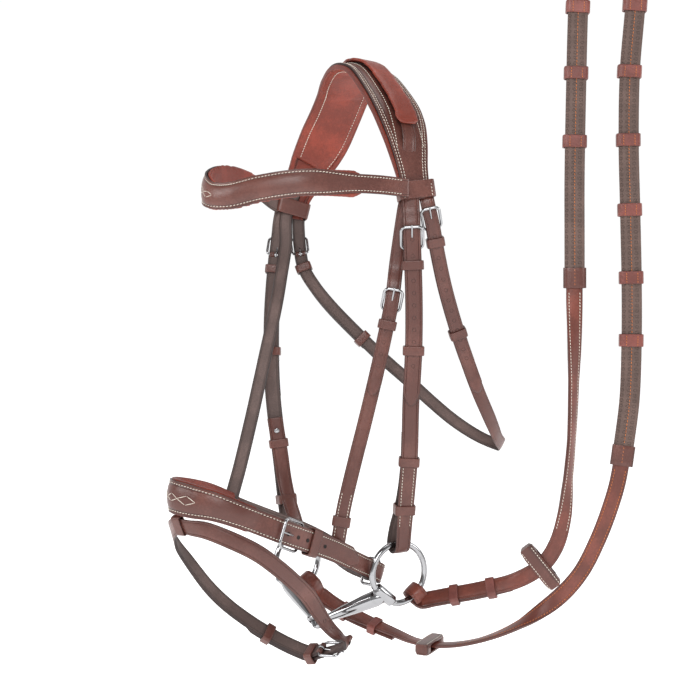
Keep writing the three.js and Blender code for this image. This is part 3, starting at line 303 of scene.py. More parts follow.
FLASH = Line(
    [*FLASH_ROUND, *[FLASH_BASE.spot(FLASH_BAR + s, out=h) for s, h in FLASH_TAIL]],
    [*FLASH_FACES, *[FLASH_BASE.out(FLASH_BAR + s) for s, h in FLASH_TAIL]],
)

near_bar = NEAR_CHEEK.reach("z", -191)
off_bar = OFF_CHEEK.reach("z", -184)
near_throat_bar = THROAT.reach("z", -170)
off_throat_bar = OFF_THROAT.reach("z", -182)
hanger_bar = NEAR_HANGER.reach("z", -251)
nose_front = NOSE.reach("y", -205)
nose_bar = NOSE.reach("y", -116, nose_front + 60)
nose_tip = NOSE.reach("y", -40, nose_bar)
near_sleeve = NEAR_REIN.reach("z", -229, 200)
off_sleeve = OFF_REIN.reach("z", -404, 300)
near_grip_top = NEAR_REIN.reach("z", 72, near_sleeve + 40)
off_grip_top = OFF_REIN.reach("z", 72, off_sleeve + 40)
REIN_BAR = 3


# ---- Settings ----
def colour(name, text, default):
    return bpy.props.FloatVectorProperty(
        name=name, description=text, default=default, subtype="COLOR", size=3, min=0, max=1
    )


class BridleColours(bpy.types.PropertyGroup):
    grain: colour("Grain", "Outer face of the dark brown straps", (0.108, 0.036, 0.027))
    worn: colour("Worn grain", "Where the dark brown straps are rubbed lighter", (0.15, 0.055, 0.042))
    flesh: colour("Flesh side", "Inner face of the straps", (0.105, 0.068, 0.06))
    lining: colour("Lining", "Soft chestnut leather of the pads", (0.2, 0.03, 0.015))
    keeper: colour("Hand stops", "Red-brown leather sewn across the grips", (0.15, 0.042, 0.033))
    rein: colour("Reins", "Chestnut leather of the reins", (0.135, 0.034, 0.022))
    thread: colour("Thread", "Cream stitching", (0.78, 0.7, 0.6))
    rein_thread: colour("Rein thread", "Orange stitching of the reins", (0.55, 0.16, 0.04))
    rubber: colour("Rubber", "Grip rubber of the reins", (0.088, 0.053, 0.043))
    steel: colour("Steel", "Polished buckles and bit", (0.36, 0.36, 0.37))


class BridleSizes(bpy.types.PropertyGroup):
    stitch_pitch: bpy.props.FloatProperty(
        name="Stitch pitch", description="From one stitch to the next", default=0.0031,
        min=0.001, max=0.02, unit="LENGTH",
    )
    hole_radius: bpy.props.FloatProperty(
        name="Hole radius", description="Radius of a punched hole", default=0.0019,
        min=0.0005, max=0.005, unit="LENGTH",
    )
    edge_round: bpy.props.FloatProperty(
        name="Edge rounding", description="How far strap edges are rounded", default=0.00055,
        min=0.0001, max=0.002, unit="LENGTH",
    )
    lens: bpy.props.FloatProperty(
        name="Lens", description="Focal length of the camera", default=56, min=10, max=300,
        unit="CAMERA",
    )


# ---- Finishes ----
class Socket:
    """A shader value that can be written in sums, with numbers or other values on either side."""

    def __init__(self, nodes, link):
        self.nodes, self.link = nodes, link

    def __add__(self, other):
        return self.nodes.math("ADD", self, other)

    __radd__ = __add__

    def __mul__(self, other):
        return self.nodes.math("MULTIPLY", self, other)

    __rmul__ = __mul__

    def __sub__(self, other):
        return self.nodes.math("SUBTRACT", self, other)

    def __rsub__(self, other):
        return self.nodes.math("SUBTRACT", other, self)

    def __pow__(self, other):
        return self.nodes.math("POWER", self, other)

    def clipped(self, low, high):
        """0 below low, 1 above high, even in between."""
        settings = {"interpolation_type": "SMOOTHSTEP"}
        return self.nodes.add("ShaderNodeMapRange", settings, {0: self, 1: low, 2: high})[0]


class Finish:
    """A material under construction."""

    def __init__(self, name):
        self.material = bpy.data.materials.new(name)
        self.material.use_nodes = True
        self.tree = self.material.node_tree
        self.shader = self.tree.nodes["Principled BSDF"]
        self.place = Socket(self, self.tree.nodes.new("ShaderNodeTexCoord").outputs["Object"])
        self.laid = Socket(self, self.tree.nodes.new("ShaderNodeUVMap").outputs["UV"])

    def math(self, how, a, b=None):
        inputs = {0: a} if b is None else {0: a, 1: b}
        return self.add("ShaderNodeMath", {"operation": how}, inputs)[0]

    def add(self, kind, settings, inputs):
        """Any node: its settings first, then its sockets. Gives its outputs."""
        node = self.tree.nodes.new(kind)
        for key, value in settings.items():
            setattr(node, key, value)
        for key, value in inputs.items():
            if isinstance(value, Socket):
                self.tree.links.new(value.link, node.inputs[key])
            else:
                node.inputs[key].default_value = value
        return [Socket(self, out) for out in node.outputs]

    def noise(self, scale, detail=3, rough=0.55, where=None):
        inputs = {"Vector": where or self.place, "Scale": scale, "Detail": detail, "Roughness": rough}
        return self.add("ShaderNodeTexNoise", {}, inputs)[0]

    def cells(self, scale, where=None):
        inputs = {"Vector": where or self.place, "Scale": scale}
        return self.add("ShaderNodeTexVoronoi", {"feature": "F1"}, inputs)[0]

    def mix(self, share, a, b):
        full = lambda c: c if isinstance(c, Socket) else (*c, 1)
        inputs = {0: share, 6: full(a), 7: full(b)}
        return self.add("ShaderNodeMix", {"data_type": "RGBA"}, inputs)[2]

    def saw(self, turns):
        """Runs from -1 to 1 over each turn."""
        return self.math("FRACT", turns) * 2 - 1

    def bump(self, height, strength, distance):
        inputs = {"Height": height, "Strength": strength, "Distance": distance}
        self.set("Normal", self.add("ShaderNodeBump", {}, inputs)[0])

    def set(self, socket, value):
        if isinstance(value, Socket):
            self.tree.links.new(value.link, self.shader.inputs[socket])
        else:
            self.shader.inputs[socket].default_value = value


def shade(c, k):
    return tuple(max(0, min(1, x * k)) for x in c)


def leather(name, base, worn, rough=0.34, pebble=1500, depth=0.00022, coat=0.05):
    f = Finish(name)
    broad = f.noise(26, 4)
    fine = f.noise(420, 3)
    grain = f.cells(pebble)
    rubbed = (broad * 0.75 + fine * 0.25).clipped(0.42, 0.66)
    tone = f.mix(rubbed, shade(base, 0.86), worn)
    side = f.math("ABSOLUTE", f.add("ShaderNodeSeparateXYZ", {}, {0: f.laid})[1])
    # Crease line near each edge: pressed in as a groove by the bump below, and darkened in colour as painted shade
    # in that groove.
    crease_groove_and_shade = 1 - f.math("ABSOLUTE", side - 0.74).clipped(0.03, 0.09)
    dark = side.clipped(0.84, 0.98)
    tone = f.mix(grain.clipped(0.25, 0.8) * 0.35, tone, shade(base, 0.62))
    # Painted shade along the crease lines; the colour is also darker towards both edges of the strap.
    f.set("Base Color", f.mix(crease_groove_and_shade * 0.55 + dark * 0.6, tone, shade(base, 0.3)))
    f.set("Roughness", rough + (fine - 0.5) * 0.22 + rubbed * -0.05)
    f.set("Specular IOR Level", 0.42)
    f.set("Coat Weight", coat)
    f.set("Coat Roughness", 0.3)
    f.bump(grain * 0.7 + fine * 0.6 - crease_groove_and_shade * 1.5, 0.55, depth)
    return f.material


def thread(name, base):
    f = Finish(name)
    twist = f.noise(1800, 2)
    f.set("Base Color", f.mix(twist.clipped(0.3, 0.75), shade(base, 0.68), base))
    f.set("Roughness", 0.6 + (twist - 0.5) * 0.2)
    f.bump(twist, 0.6, 0.0002)
    return f.material


def steel(name, base):
    f = Finish(name)
    scuffs = f.noise(70, 5, 0.65)
    hair = f.noise(900, 2)
    f.set("Base Color", f.mix(scuffs.clipped(0.45, 0.75), base, shade(base, 0.84)))
    f.set("Metallic", 1.0)
    f.set("Roughness", 0.09 + scuffs.clipped(0.4, 0.8) * 0.1 + hair * 0.03)
    f.bump(scuffs, 0.15, 0.0001)
    return f.material


def rubber(name, base):
    """Grey-brown rubber with rows of small ring-shaped studs along it, from the strap's own map."""
    f = Finish(name)
    split = f.add("ShaderNodeSeparateXYZ", {}, {0: f.laid})
    column = f.saw(split[0] * (1 / 0.0052))
    row = f.saw(split[1] * 1.53 + 0.25)
    reach = (column * column + row * row) ** 0.5
    ring = reach.clipped(0.28, 0.4) * (1 - reach.clipped(0.55, 0.7))
    fine = f.noise(700, 3)
    dusty = f.noise(45, 4).clipped(0.4, 0.7)
    tone = f.mix(dusty * 0.6, base, shade(base, 1.6))
    f.set("Base Color", f.mix(ring * 0.4, tone, shade(base, 0.55)))
    f.set("Roughness", 0.68 + (fine - 0.5) * 0.2)
    f.bump(ring * 1.0 + fine * 0.15, 0.9, 0.0005)
    return f.material


finishes = {}


def make_finishes():
    c = bpy.context.scene.bridle_colours
    grain, worn, keeper = tuple(c.grain), tuple(c.worn), tuple(c.keeper)
    finishes.update(
        grain=leather("bridle_leather", grain, worn),
        flesh=leather("flesh_side", tuple(c.flesh), shade(c.flesh, 1.35), 0.62, 900, 0.0003, 0.0),
        edge=leather("dyed_edge", shade(grain, 0.3), shade(grain, 0.5), 0.5, 2200, 0.0001),
        lining=leather("chestnut_lining", tuple(c.lining), shade(c.lining, 1.45), 0.46, 1300, 0.0003, 0.08),
        rein=leather("rein_leather", tuple(c.rein), shade(c.rein, 1.5), 0.38, 1600, 0.0002),
        keeper=leather("keeper_leather", keeper, shade(keeper, 1.5), 0.4, 1700, 0.00018),
        # Holes get a near-black finish: painted shadow standing in for the dark inside of each punched hole.
        hole=leather("hole_painted_shadow", (0.012, 0.007, 0.006), (0.02, 0.012, 0.01), 0.8, 900, 0.0001, 0.0),
        thread=thread("cream_thread", tuple(c.thread)),
        rein_thread=thread("orange_thread", tuple(c.rein_thread)),
        rubber=rubber("grip_rubber", tuple(c.rubber)),
        steel=steel("polished_steel", tuple(c.steel)),
    )


def clear_selection():
    if bpy.context.object and bpy.context.object.mode != "OBJECT":
        bpy.ops.object.mode_set(mode="OBJECT")
    bpy.ops.object.select_all(action="DESELECT")


def primitive(kind, **sizes):
    clear_selection()
    getattr(bpy.ops.mesh, "primitive_" + kind + "_add")(**sizes)
    return bpy.context.object


def points_of(piece):
    co = np.empty(len(piece.data.vertices) * 3)
    piece.data.vertices.foreach_get("co", co)
    return co.reshape(-1, 3)


def move_points(piece, co):
    piece.data.vertices.foreach_set("co", np.asarray(co, float).ravel())
    piece.data.update()


def only(piece):
    clear_selection()
    piece.select_set(True)
    bpy.context.view_layer.objects.active = piece


def modify(piece, kind, **settings):
    only(piece)
    m = piece.modifiers.new(kind.title(), kind)
    for key, value in settings.items():
        setattr(m, key, value)
    bpy.ops.object.modifier_apply(modifier=m.name)


def smooth(piece, degrees=38):
    only(piece)
    bpy.ops.object.shade_smooth_by_angle(angle=math.radians(degrees))


def outward(piece):
    only(piece)
    bpy.ops.object.mode_set(mode="EDIT")
    bpy.ops.mesh.select_all(action="SELECT")
    bpy.ops.mesh.remove_doubles(threshold=0.000001)
    bpy.ops.mesh.normals_make_consistent(inside=False)
    bpy.ops.object.mode_set(mode="OBJECT")


def merge(name, pieces):
    clear_selection()
    for piece in pieces:
        piece.select_set(True)
    bpy.context.view_layer.objects.active = pieces[0]
    if len(pieces) > 1:
        bpy.ops.object.join()
    joined = bpy.context.object
    joined.name = joined.data.name = name
    return joined


def place_down(piece):
    only(piece)
    bpy.ops.object.transform_apply(location=True, rotation=True, scale=True)


def hang(piece, name, finish, body="bridle", nodes=()):
    """Names a finished piece, gives it its finish if it has none, and ties it to its body."""
    piece.name = piece.data.name = name
    place_down(piece)
    if not piece.data.materials:
        piece.data.materials.append(finishes[finish])
    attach(piece, body)
    if nodes:
        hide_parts(*nodes)
    return piece


FLAT = [(-1, 0), (-0.5, 0), (0, 0), (0.5, 0), (1, 0)]
CREASED = [
    (-1, -0.2), (-0.93, 0.05), (-0.82, 0.1), (-0.74, -0.35), (-0.66, 0.1), (-0.35, 0.25), (0, 0.3),
    (0.35, 0.25), (0.66, 0.1), (0.74, -0.35), (0.82, 0.1), (0.93, 0.05), (1, -0.2),
]
RAISED = [
    (-1, 0), (-0.92, 0.05), (-0.84, 0), (-0.76, 0.1), (-0.68, 0.6), (-0.52, 1.3), (-0.28, 1.8),
    (0, 2), (0.28, 1.8), (0.52, 1.3), (0.68, 0.6), (0.76, 0.1), (0.84, 0), (0.92, 0.05), (1, 0),
]


def value(v, s):
    return v(s) if callable(v) else v


def strap(line, start, end, width, thick=LEATHER, lift=0.0, shift=0.0, section=CREASED,
          puff=1.0, step=4.0, sides=("grain", "edge", "flesh")):
    """A length of leather on a line: a grid laid along it, given its thickness, edges rounded."""
    spans = max(3, int(round((end - start) / step)))
    rows = len(section) - 1
    piece = primitive("grid", x_subdivisions=spans, y_subdivisions=rows, size=1)
    co = points_of(piece)
    s = start + (co[:, 0] + 0.5) * (end - start)
    row = np.rint((co[:, 1] + 0.5) * rows).astype(int)
    share, rise = np.array([q[0] for q in section])[row], np.array([q[1] for q in section])[row]
    across = share * value(width, s) / 2 + value(shift, s)
    height = rise * value(puff, s) + value(lift, s)
    place, _, out, side = line.at(s)
    move_points(piece, (place + side * across[:, None] + out * height[:, None]) * MM)
    laid = np.stack([s * MM, share], 1)
    owner = np.empty(len(piece.data.loops), int)
    piece.data.loops.foreach_get("vertex_index", owner)
    piece.data.uv_layers[0].data.foreach_set("uv", laid[owner].ravel())
    for finish in sides:
        piece.data.materials.append(finishes[finish])
    modify(piece, "SOLIDIFY", thickness=thick * MM, offset=0, use_even_offset=False,
           use_quality_normals=True, material_offset=2, material_offset_rim=1)
    edge = min(bpy.context.scene.bridle_sizes.edge_round, thick * MM * 0.3)
    modify(piece, "BEVEL", width=edge, segments=2, limit_method="ANGLE", angle_limit=math.radians(50))
    smooth(piece, 50)
    return piece


def hoop(outline, section, matrix, steps=64, sides=10):
    """A closed band round an outline: a torus whose points are moved to the outline and section.
    outline(u) gives x and y, section(turn) how far out of and along the axis of the band."""
    piece = primitive("torus", major_segments=steps, minor_segments=sides, major_radius=1,
                      minor_radius=0.25)
    co = points_of(piece)
    u = (np.arctan2(co[:, 1], co[:, 0]) / (2 * math.pi)) % 1
    turn = np.arctan2(co[:, 2], np.hypot(co[:, 0], co[:, 1]) - 1)
    here, ahead = outline(u), unit(outline((u + 0.002) % 1) - outline((u - 0.002) % 1))
    swell, rise = section(turn)
    x = here[:, 0] + ahead[:, 1] * swell
    y = here[:, 1] - ahead[:, 0] * swell
    m = np.array(matrix)
    move_points(piece, np.stack([x, y, rise], 1) @ m[:3, :3].T + m[:3, 3])
    outward(piece)
    smooth(piece, 60)
    return piece


def wire(radius):
    return lambda turn: (radius * np.cos(turn), radius * np.sin(turn))


def ribbon(wall, length):
    """Section of a leather band: wall thick, length wide, with rounded corners."""
    def section(turn):
        c, s = np.cos(turn), np.sin(turn)
        return (np.sign(c) * np.abs(c) ** 0.35 * wall / 2, np.sign(s) * np.abs(s) ** 0.35 * length / 2)
    return section


def ring_outline(radius):
    return lambda u: np.stack([np.cos(u * 2 * math.pi), np.sin(u * 2 * math.pi)], 1) * radius


def rounded_box(x0, x1, y0, y1, corner):
    """Outline of a rounded rectangle, walked at an even pace from the middle of its x1 side."""
    pts = []
    for cx, cy, a in ((x1 - corner, y1 - corner, 0), (x0 + corner, y1 - corner, 90),
                      (x0 + corner, y0 + corner, 180), (x1 - corner, y0 + corner, 270)):
        for k in range(9):
            angle = math.radians(a + k * 90 / 8)
            pts.append((cx + corner * math.cos(angle), cy + corner * math.sin(angle)))
    pts = np.array([(x1, (y0 + y1) / 2), *pts, (x1, (y0 + y1) / 2)])
    marks = np.concatenate([[0], np.cumsum(np.linalg.norm(np.diff(pts, axis=0), axis=1))])
    marks /= marks[-1]
    return lambda u: np.stack([np.interp(u, marks, pts[:, k]) for k in (0, 1)], 1)


def rod(a, b, r0, r1=None, sides=16, cap=0.3):
    """A round rod from a to b in mm, its ends bevelled."""
    a, b = np.asarray(a, float), np.asarray(b, float)
    r1 = r0 if r1 is None else r1
    long = float(np.linalg.norm(b - a))
    piece = primitive("cone", vertices=sides, radius1=r0 * MM, radius2=r1 * MM, depth=long * MM)
    modify(piece, "BEVEL", width=min(r0, r1) * cap * MM, segments=3, limit_method="ANGLE",
           angle_limit=math.radians(50))
    piece.matrix_world = Matrix.Translation(Vector((a + b) / 2 * MM)) @ Vector((b - a)).to_track_quat(
        "Z", "Y").to_matrix().to_4x4()
    place_down(piece)
    smooth(piece, 50)
    return piece


def keeper(line, s, width, low, high, length=9, wall=1.8):
    """A leather band round the strap and the billet over it."""
    inside = width / 2 + 0.8 + wall / 2
    box = rounded_box(-inside, inside, low - wall / 2, high + wall / 2, 2.0)
    turn = Matrix(((0, 0, 1, 0), (1, 0, 0, 0), (0, 1, 0, 0), (0, 0, 0, 1)))
    return hoop(box, ribbon(wall, length), line.stand(s) @ turn, 56, 16)


def copies(name, pattern, matrices, finish, body="bridle"):
    """One piece made of many copies of a small shape."""
    src = points_of(pattern)
    faces = [list(p.vertices) for p in pattern.data.polygons]
    n = len(src)
    verts = np.vstack([src @ np.array(m)[:3, :3].T + np.array(m)[:3, 3] for m in matrices])
    mesh = bpy.data.meshes.new(name)
    mesh.from_pydata(verts.tolist(), [], [[v + k * n for v in f] for k in range(len(matrices)) for f in faces])
    mesh.update()
    piece = bpy.data.objects.new(name, mesh)
    bpy.context.collection.objects.link(piece)
    bpy.data.objects.remove(pattern, do_unlink=True)
    smooth(piece, 60)
    return hang(piece, name, finish, body)


def stitches(name, runs, finish="thread", body="bridle", pitch=None, size=1.0):
    """Rows of thread stitches. Each run is (line, from, to, across, out)."""
    pitch = pitch or bpy.context.scene.bridle_sizes.stitch_pitch / MM
    pattern = primitive("uv_sphere", segments=6, ring_count=4, radius=1)
    move_points(pattern, points_of(pattern) * np.array([pitch * 0.4, 0.42 * size, 0.36 * size]))
    spots = []
    for line, start, end, across, out in runs:
        for s in np.arange(start + pitch / 2, end, pitch):
            m = line.stand(s)
            offset = Vector((0, float(value(across, s)), float(value(out, s))))
            spots.append(m @ Matrix.Translation(offset) @ Matrix.Rotation(0.14, 4, "Z"))
    return copies(name, pattern, spots, finish, body)


def holes(name, spots, body="bridle"):
    """Punched holes: shallow dishes in a near-black finish that paints the shadow inside each hole. Each spot is
    (line, s, out).
    """
    r = bpy.context.scene.bridle_sizes.hole_radius / MM
    pattern = primitive("cylinder", vertices=14, radius=r, depth=0.5)
    bpy.ops.object.mode_set(mode="EDIT")
    bpy.ops.mesh.select_mode(type="FACE")
    bpy.ops.mesh.select_all(action="DESELECT")
    bpy.ops.object.mode_set(mode="OBJECT")
    for face in pattern.data.polygons:
        face.select = face.normal.z > 0.9
    bpy.ops.object.mode_set(mode="EDIT")
    bpy.ops.mesh.inset(thickness=0.3, depth=-0.3)
    bpy.ops.object.mode_set(mode="OBJECT")
    matrices = [line.stand(s) @ Matrix.Translation((0, 0, out - 0.12)) for line, s, out in spots]
    return copies(name, pattern, matrices, "hole", body)


def soften(piece, cap=0.9, voxel=0.0018):
    """Swells a pad as stuffed leather does: remeshed, blown up as cloth and smoothed."""
    modify(piece, "REMESH", mode="VOXEL", voxel_size=voxel)
    before = points_of(piece)
    only(piece)
    cloth = piece.modifiers.new("Cloth", "CLOTH")
    cloth.settings.use_pressure = True
    cloth.settings.uniform_pressure_force = 4
    cloth.settings.effector_weights.gravity = 0
    cloth.collision_settings.use_collision = False
    cloth.point_cache.frame_end = 20
    for step in range(1, 21):
        bpy.context.scene.frame_set(step)
    bpy.ops.object.modifier_apply(modifier="Cloth")
    after = points_of(piece)
    move = after - before
    far = np.linalg.norm(move, axis=1, keepdims=True)
    keep = np.minimum(1, cap * MM / np.maximum(far, 1e-9))
    move_points(piece, before + move * keep)
    bpy.context.scene.frame_set(1)
    modify(piece, "SMOOTH", factor=0.5, iterations=3)
    smooth(piece, 180)


def folded(line, s, width, sides=("grain",)):
    """The fold of a strap's end round a buckle's bar, split for the tongue."""
    m = line.stand(s)
    rolls = []
    for a, b in ((-width / 2 + 1, -1.9), (1.9, width / 2 - 1)):
        start, end = (np.array(m @ Vector((0, y, 0))) / MM for y in (a, b))
        roll = rod(start, end, FOLD - 0.1, sides=20, cap=0.2)
        roll.data.materials.append(finishes[sides[0]])
        rolls.append(roll)
    return rolls


def buckle(name, line, s, width, long=21.0):
    """A buckle: a wire frame, flat-sided and polished, and its hinged tongue."""
    tilt = Matrix.Rotation(math.atan2(FRAME_RISE, long), 4, "Y")
    box = rounded_box(-math.hypot(long, FRAME_RISE), 0, -width / 2 - 1.2 - BAR, width / 2 + 1.2 + BAR, 4.6)
    frame_wire = hoop(box, wire(BAR), line.stand(s) @ tilt, 88, 14)
    hang(frame_wire, name + "_frame_wire", "steel", nodes=[name + "_buckle_frame"])
    upright = Matrix.Rotation(math.pi / 2, 4, "X")
    eye = hoop(ring_outline(BAR + GAP + 1), wire(1), line.stand(s) @ upright, 32, 10)
    angle = math.atan2(FRAME_RISE + BAR + GAP + 1, long)
    m = line.stand(s)
    tip = lambda r: np.array(m @ Vector((-math.cos(angle) * r, 0, math.sin(angle) * r))) / MM
    pin = rod(tip(BAR + GAP + 1), tip(long + 4.6), 1.0, 0.8, 12, 0.6)
    both = merge(name + "_pin", [eye, pin])
    hang(both, name + "_pin", "steel", body=name + "_buckle_tongue", nodes=[name + "_buckle_tongue"])
    return [frame_wire, both]


# ---- Operators ----
class StageOperator(bpy.types.Operator):
    """Pale floor, soft studio light and the camera"""

    bl_idname = "bridle.stage"
    bl_label = "Stage"

    def execute(self, context):
        make_finishes()
        floor = primitive("plane", size=60, location=(0, 0, -0.68))
        place_down(floor)
        floor.name = "studio_floor"
        plain = Finish("floor_white")
        plain.set("Base Color", plain.mix(plain.noise(2.0).clipped(0.2, 0.8), (0.9, 0.9, 0.9), (0.93, 0.93, 0.93)))
        plain.set("Roughness", 0.9)
        plain.set("Emission Color", (1, 1, 1, 1))
        plain.set("Emission Strength", 0.78)
        floor.data.materials.append(plain.material)
        world = bpy.data.worlds.new("studio_world")
        context.scene.world = world
        world.use_nodes = True
        nodes, links = world.node_tree.nodes, world.node_tree.links
        way = nodes.new("ShaderNodeTexCoord")
        parts = []
        for aim, ramp in (((-0.788, 0.616, 0), (-0.1, 0.75, 0.42, 1.02)), ((0, 0, 1), (0.5, 0.85, 1, 0.2))):
            lit = nodes.new("ShaderNodeVectorMath")
            lit.operation = "DOT_PRODUCT"
            lit.inputs[1].default_value = aim
            spread = nodes.new("ShaderNodeMapRange")
            for k, level in enumerate(ramp, 1):
                spread.inputs[k].default_value = level
            links.new(way.outputs["Generated"], lit.inputs[0])
            links.new(lit.outputs["Value"], spread.inputs[0])
            parts.append(spread.outputs[0])
        product = nodes.new("ShaderNodeMath")
        product.operation = "MULTIPLY"
        for k in (0, 1):
            links.new(parts[k], product.inputs[k])
        links.new(product.outputs[0], nodes["Background"].inputs["Strength"])
        nodes["Background"].inputs["Color"].default_value = (1, 1, 1, 1)
        for place, size, power in (
            ((1.9, -1.6, 0.9), 1.1, 32),
            ((-0.4, -2.3, 0.7), 0.9, 22),
            ((1.6, 1.5, 0.3), 0.9, 14),
            ((0.2, 0.1, 2.0), 1.6, 20),
        ):
            light = bpy.data.lights.new("softbox", "AREA")
            light.size, light.energy = size, power
            lamp = bpy.data.objects.new("softbox", light)
            lamp.location = place
            lamp.rotation_euler = (Vector((0.03, 0, -0.3)) - Vector(place)).to_track_quat("-Z", "Y").to_euler()
            context.collection.objects.link(lamp)
        camera = bpy.data.cameras.new("studio_camera")
        camera.lens, camera.sensor_width = context.scene.bridle_sizes.lens, 36
        eye = bpy.data.objects.new("studio_camera", camera)
        eye.location = (0.902, -0.7135, -0.290)
        eye.rotation_euler = (math.radians(90), 0, math.radians(52))
        context.collection.objects.link(eye)
        context.scene.camera = eye
        context.scene.view_settings.view_transform = "Standard"
        return {"FINISHED"}


def crown_width(s):
    off = np.abs(s - crown_middle) / crown_middle
    return CROWN_END_WIDTH + (CROWN_WIDTH - CROWN_END_WIDTH) * (1 - ease(off, 0.45, 0.9, 0, 1))


def billet(line, bar, end, width):
    lift = lambda s: ease(s, bar - 40, bar - 24, 0, OVER_BAR)
    return strap(line, 4, end, pointed(width, end), lift=lift, step=3)


def billet_holes(line, bar, first, last, pitch):
    return [(line, s, OVER_BAR + LEATHER / 2 + 0.35) for s in np.arange(bar + first, bar + last, pitch)]


class HeadpieceOperator(bpy.types.Operator):
    """Padded headpiece with its four billets, lining, raised centre pad and stitching"""

    bl_idname = "bridle.headpiece"
    bl_label = "Headpiece"

    def execute(self, context):
        swell = lambda s: 0.9 * ease(np.abs(s - crown_middle), 70, 130, 1, 0.1)
        crown = strap(CROWN, 10, CROWN.length - 9, crown_width, section=RAISED, puff=swell, step=3,
                      sides=("grain", "edge", "lining"))
        near_end, off_end = NEAR_CHEEK.reach("z", -343), OFF_CHEEK.reach("z", -352)
        throat_end, off_throat_end = THROAT.reach("z", -331), OFF_THROAT.reach("z", -290)
        parts = [
            crown,
            billet(NEAR_CHEEK, near_bar, near_end, CHEEK_WIDTH),
            billet(OFF_CHEEK, off_bar, off_end, CHEEK_WIDTH),
            billet(THROAT, near_throat_bar, throat_end, SLIM_WIDTH),
            billet(OFF_THROAT, off_throat_bar, off_throat_end, SLIM_WIDTH),
        ]
        hang(merge("headpiece_leather", parts), "headpiece_leather", "grain", nodes=["headpiece"])
        runs = []
        top = LEATHER / 2 + 0.15
        for side in (-1, 1):
            for inset in (2.6, 5.4):
                edge = lambda s, side=side, inset=inset: side * (crown_width(s) / 2 - inset)
                runs.append((CROWN, 18, CROWN.length - 18, edge, top))
            runs.append((CROWN, 60, CROWN.length - 60, lambda s, side=side: side * 14.5, 3.1))
        stitches("headpiece_stitching", runs)
        holes("headpiece_holes", [
            *billet_holes(NEAR_CHEEK, near_bar, 7, 125, 12), (NEAR_CHEEK, near_bar - 9, OVER_BAR + 1.65),
            *billet_holes(OFF_CHEEK, off_bar, 7, 130, 12),
            *billet_holes(THROAT, near_throat_bar, 7, 140, 11),
            *billet_holes(OFF_THROAT, off_throat_bar, 7, 50, 11),
        ])
        pad_from, pad_to = CROWN.reach("z", -84), CROWN.reach("z", -80, crown_middle)
        pad = strap(CROWN, pad_from + 1, pad_to - 1, lambda s: crown_width(s) + 1.5, 3.6, -4.2, section=FLAT,
                    sides=("lining", "lining", "lining"))
        soften(pad, 1.2)
        pad.data.materials.clear()
        hang(pad, "headpiece_lining", "lining", nodes=["headpiece_pad"])
        rolls = []
        for side in (-1, 1):
            edge = lambda s, side=side: side * (crown_width(s) / 2 - 0.6)
            size = lambda s: 5.6 * ease(np.abs(s - crown_middle), 150, 195, 1, 0.5)
            rolls.append(strap(CROWN, 22, CROWN.length - 22, size, 4.6, -3.4, shift=edge, section=FLAT,
                               sides=("lining", "lining", "lining")))
        hang(merge("headpiece_rolled_edges", rolls), "headpiece_rolled_edges", "lining")
        under = -7.3
        stitches("headpiece_lining_stitching", [
            (CROWN, pad_from + 4, pad_to - 4, lambda s, side=side: side * (crown_width(s) / 2 - 6.4), under)
            for side in (-1, 1)])
        centre_from, centre_to = CROWN.reach("z", -60), CROWN.reach("z", -74, crown_middle)
        centre = strap(CROWN, centre_from + 2, centre_to - 2, tapered(26, centre_from, centre_to, 7), 3.0,
            SLIP_LIFT + LEATHER / 2 + 2.4, section=FLAT, sides=("lining", "lining", "lining"))
        soften(centre, 1.0)
        centre.data.materials.clear()
        hang(centre, "headpiece_centre_cushion", "lining", nodes=["headpiece_centre_pad"])
        return {"FINISHED"}


def diamonds(name, line, s, shapes, out):
    """Long diamonds of thread in a row. Each shape is (place along, half its length, half its height)."""
    pattern = primitive("uv_sphere", segments=6, ring_count=4, radius=1)
    spots = []
    for x, long, high in shapes:
        for sx, sy in ((-1, -1), (-1, 1), (1, -1), (1, 1)):
            lean = math.atan2(-sy * high, sx * long)
            size = Matrix.Diagonal((math.hypot(long, high) / 2 + 0.4, 0.36, 0.34, 1))
            m = line.stand(s + x + sx * long / 2)
            spots.append(m @ Matrix.Translation((0, sy * high / 2, out)) @ Matrix.Rotation(lean, 4, "Z") @ size)
    return copies(name, pattern, spots, "thread")


def tapered(width, start, end, reach=14):
    """A width that rounds off at both ends of a strap."""
    return lambda s: value(width, s) * np.sqrt(np.clip(np.minimum(s - start, end - s) / reach, 0.04, 1))


